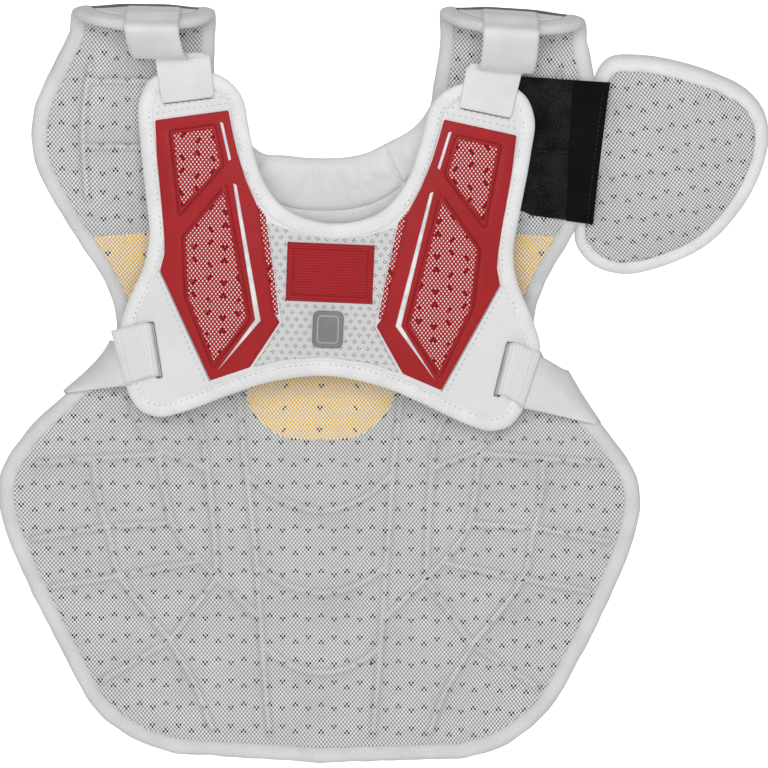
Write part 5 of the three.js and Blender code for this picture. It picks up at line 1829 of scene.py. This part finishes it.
@dataclass
class ArmGuard:
    """Arm guard on the wearer's right, and the black strap that holds it to the wing."""

    form: PadForm
    finishes: Finishes
    at: tuple[float, float, float] = (251, 37.4, -98.5)
    lean: float = math.radians(21.3)
    thick: float = 13.0
    dish: float = 7.0e-4
    outline: tuple = (
        (-57.5, 66), (-48, 77.6), (-28.5, 79.4), (-6, 76.4), (25, 67), (48.4, 54.6), (60.3, 40), (64.6, 22.3),
        (61.2, -0.3), (48, -29.8), (24.2, -58.4), (-6, -75), (-36.3, -82), (-58, -75), (-69.5, -60),
        (-70, -44), (-65.5, -18), (-60.5, 20))
    strap: tuple = (((122, -30), (203.5, -30.5)), ((124, -126.5), (194, -135.5)))
    tab: tuple = (((178, -29.8), (204, -30.4)), ((175, -133), (194.6, -135.8)))
    strap_lift: float = 2.2
    strap_thick: float = 1.6

    def lay(self, p: Array, level: Array) -> Array:
        """Places in space of plane points at levels towards the wearer's front."""
        y = self.dish * (p**2).sum(axis=1) + level
        c, s = math.cos(self.lean), math.sin(self.lean)
        z = y * s + p[:, 1] * c
        return np.stack([p[:, 0], y * c - p[:, 1] * s, z], 1) + np.array(self.at)

    def up(self, p: Array) -> Array:
        """Directions off the guard's lining."""
        back = self.lay(p, -1.0) - self.lay(p, 0.0)
        return back / np.linalg.norm(back, axis=1, keepdims=True)

    def pad(self) -> None:
        """Makes the padded guard, its binding and its stitches."""
        f, w, t = self.finishes, self.form.binding, self.thick
        line = anticlockwise(spaced(catmull(np.array(self.outline), True), True, 150))
        out = outward(line, True)
        out *= 1 - 0.6 * ease(-out[:, :1], 0.85, 0.97) * bell(line[:, 1:], 0, 52)
        seam = line - out * w

        def swell(p: Array) -> Array:
            """Padding that rises from the seam before the cloth swells."""
            return 0.8 * ease(line_distance(p, seam, True), 0, 20) + 0.12 * ripple(p, 20, 12)
        Cut(seam + out * 0.4, spacing=3.4, insets=(1.0, 2.2)).build(
            "arm_guard_padding", lambda p, lift: self.lay(p, -lift), -t, t, f.guard, "lining",
            "arm_guard_pad", 1.6, swell, fill=0.7)
        section = [(-w - 0.4, -0.5), (0.14 * w - w, -1.4), (0.5 * w - w, -1.5), (0.85 * w - w, 0.4),
                   (0, 0.3 * t), (0, 0.7 * t), (0.85 * w - w, t - 0.4), (0.5 * w - w, t + 1.5),
                   (0.14 * w - w, t + 1.4), (-w - 0.4, t + 0.5)]
        # The binding is in the white tape painted lighter: painted light against its shade
        swept("arm_guard_edge_binding", line, out, section, True, self.lay, f.tape_painted_lighter, "binding",
              "arm_guard_binding", pucker=0.4, seed=21)
        run = StitchRun("arm_guard_stitches", f.white_thread, "binding", 3.4, 2.2, 0.55, 0.5)
        row = line - out * (0.85 * w)
        run.row(self.lay(row, -1.42), self.up(row), True)
        run.build()

    def layer(self, node: str, corners: tuple, lift: float, finish: Material) -> None:
        """Makes one black layer over the wing's lining."""
        top, bottom = np.array(corners[0], float), np.array(corners[1], float)
        rows, columns = 40, 34
        down, right = np.meshgrid(np.linspace(0, 1, rows), np.linspace(0, 1, columns), indexing="ij")
        d, r = down.reshape(-1, 1), right.reshape(-1, 1)
        flat = (top[0] * (1 - r) + top[1] * r) * (1 - d) + (bottom[0] * (1 - r) + bottom[1] * r) * d
        flat = self.straight(flat)
        uneven = 0.35 * ripple(flat, 26, 31)
        edge = np.minimum(np.minimum(d, 1 - d) * 100, np.minimum(r, 1 - r) * 70).ravel()
        half = 0.5 * self.strap_thick * np.sqrt(1 - 0.8 * (1 - np.clip(edge / 1.2, 0, 1)) ** 2)
        middle = -lift - 0.5 * self.strap_thick + uneven * np.clip(edge / 10, 0, 1)
        shell = Shell()
        shell.slab(self.form.lay(flat, middle + half), self.form.lay(flat, middle - half), flat, rows,
                   columns)
        piece = shell.build(node + "_cloth", finish)
        Cut(np.vstack([top, bottom[::-1]])).sheet()
        settle(piece, "black_strap", node)

    def straight(self, p: Array) -> Array:
        """Pattern points moved so that the wing's pull leaves the strap straight."""
        return p + ease(p[:, :1], 120, 200) * (hump(p[:, 1:], self.form.wing_pull) - 4.2) * [1, 0]

    def holder(self) -> None:
        """Makes the black strap, its second layer and their stitches."""
        f = self.finishes
        self.layer("arm_guard_strap", self.strap, self.strap_lift, f.black)
        upper = self.strap_lift + self.strap_thick + 0.3
        self.layer("arm_guard_tab", self.tab, upper, f.black_smooth)
        run = StitchRun("black_strap_stitches", f.black_thread, "black_strap", 3.4, 2.2, 0.5, 0.4)
        rows = (((199.5, -38), (190.5, -137), upper), ((128, -82), (178, -84), self.strap_lift))
        for start, end, lift in rows:
            self.form.sew(run, self.straight(between(start, end, 30)), -lift - self.strap_thick - 0.35)
        run.build()

    def build(self) -> None:
        """Makes every piece of the guard."""
        self.pad()
        self.holder()


@dataclass
class Studio:
    """Camera, plain pale backdrop and soft studio light."""

    eye: tuple[float, float, float] = (0.045, -2.915, -0.250)
    view_width: float = 0.549
    distance: float = 3.0
    floor: float = -0.62

    def camera(self) -> None:
        """Makes the camera at the photograph's viewing angle."""
        data = bpy.data.cameras.new("camera")
        data.sensor_width = 36
        data.lens = 36 * self.distance / self.view_width
        data.clip_end = 50
        camera = put_in_scene("camera", data)
        camera.location = self.eye
        camera.rotation_euler = (math.pi / 2, 0, 0)
        bpy.context.scene.camera = camera

    def backdrop(self) -> None:
        """Makes the floor that sweeps up into a wall behind the object."""
        profile = [(-1.2, self.floor), (0.5, self.floor)]
        radius, wall = 0.6, 1.2
        for k in range(1, 13):
            turn = math.pi / 2 * k / 12
            bend = (wall - radius + radius * math.sin(turn), self.floor + radius * (1 - math.cos(turn)))
            profile.append(bend)
        profile.append((wall, 2.6))
        points = [(x, y, z) for y, z in profile for x in (-4, 4)]
        faces = [(2 * i, 2 * i + 1, 2 * i + 3, 2 * i + 2) for i in range(len(profile) - 1)]
        mesh = bpy.data.meshes.new("backdrop")
        mesh.from_pydata(points, [], faces)
        mesh.shade_smooth()
        material = bpy.data.materials.new("backdrop_white")
        material.use_nodes = True
        shader = material.node_tree.nodes["Principled BSDF"]
        shader.inputs["Base Color"].default_value = (0.85, 0.85, 0.85, 1)
        shader.inputs["Roughness"].default_value = 0.9
        shader.inputs["Emission Color"].default_value = (1, 1, 1, 1)
        graph = Graph(material.node_tree)
        seen = graph.node("ShaderNodeLightPath").outputs["Is Camera Ray"]
        glow = graph.math("ADD", graph.math("MULTIPLY", seen, 0.9), 0.12)
        graph.tree.links.new(glow, shader.inputs["Emission Strength"])
        behind = graph.node("ShaderNodeNewGeometry").outputs["Backfacing"]
        clear = graph.node("ShaderNodeBsdfTransparent").outputs[0]
        shown = graph.node("ShaderNodeMixShader", {0: behind, 1: shader.outputs[0], 2: clear})
        graph.tree.links.new(shown.outputs[0], material.node_tree.nodes["Material Output"].inputs["Surface"])
        mesh.materials.append(material)
        put_in_scene("backdrop", mesh)

    def light(self, name: str, place: Sequence[float], aim: Sequence[float], size: float,
              power: float) -> None:
        """Makes one soft box.

        Args:
            name: name of the light.
            place, aim: where it stands and what it points at.
            size: its width.
            power: its power in watts.
        """
        data = bpy.data.lights.new(name, "AREA")
        data.size = size
        data.energy = power
        lamp = put_in_scene(name, data)
        lamp.location = place
        lamp.rotation_euler = (Vector(aim) - Vector(place)).to_track_quat("-Z", "Y").to_euler()

    def build(self) -> None:
        """Makes the whole studio."""
        self.camera()
        self.backdrop()
        middle = (0.0, 0.05, -0.25)
        self.light("key", (-0.06, -2.7, 0.06), middle, 1.2, 36)
        self.light("fill", (-0.1, -2.4, -1.3), middle, 0.9, 5)
        world = bpy.data.worlds.new("studio")
        world.use_nodes = True
        world.node_tree.nodes["Background"].inputs["Color"].default_value = (1, 1, 1, 1)
        world.node_tree.nodes["Background"].inputs["Strength"].default_value = 0.36
        scene = bpy.context.scene
        scene.world = world
        scene.view_settings.view_transform = "Standard"


def main() -> None:
    """Builds the studio and every piece."""
    logging.basicConfig(level=logging.INFO, format="%(message)s")
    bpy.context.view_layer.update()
    Studio().build()
    finishes = Finishes()
    form = PadForm()
    panel = ChestPanel(form, finishes)
    panel.build()
    Collar(form, finishes).build()
    harness = Harness(finishes)
    harness.build()
    Straps(panel, harness, finishes).build()
    ArmGuard(form, finishes).build()


if __name__ == "__main__":
    main()
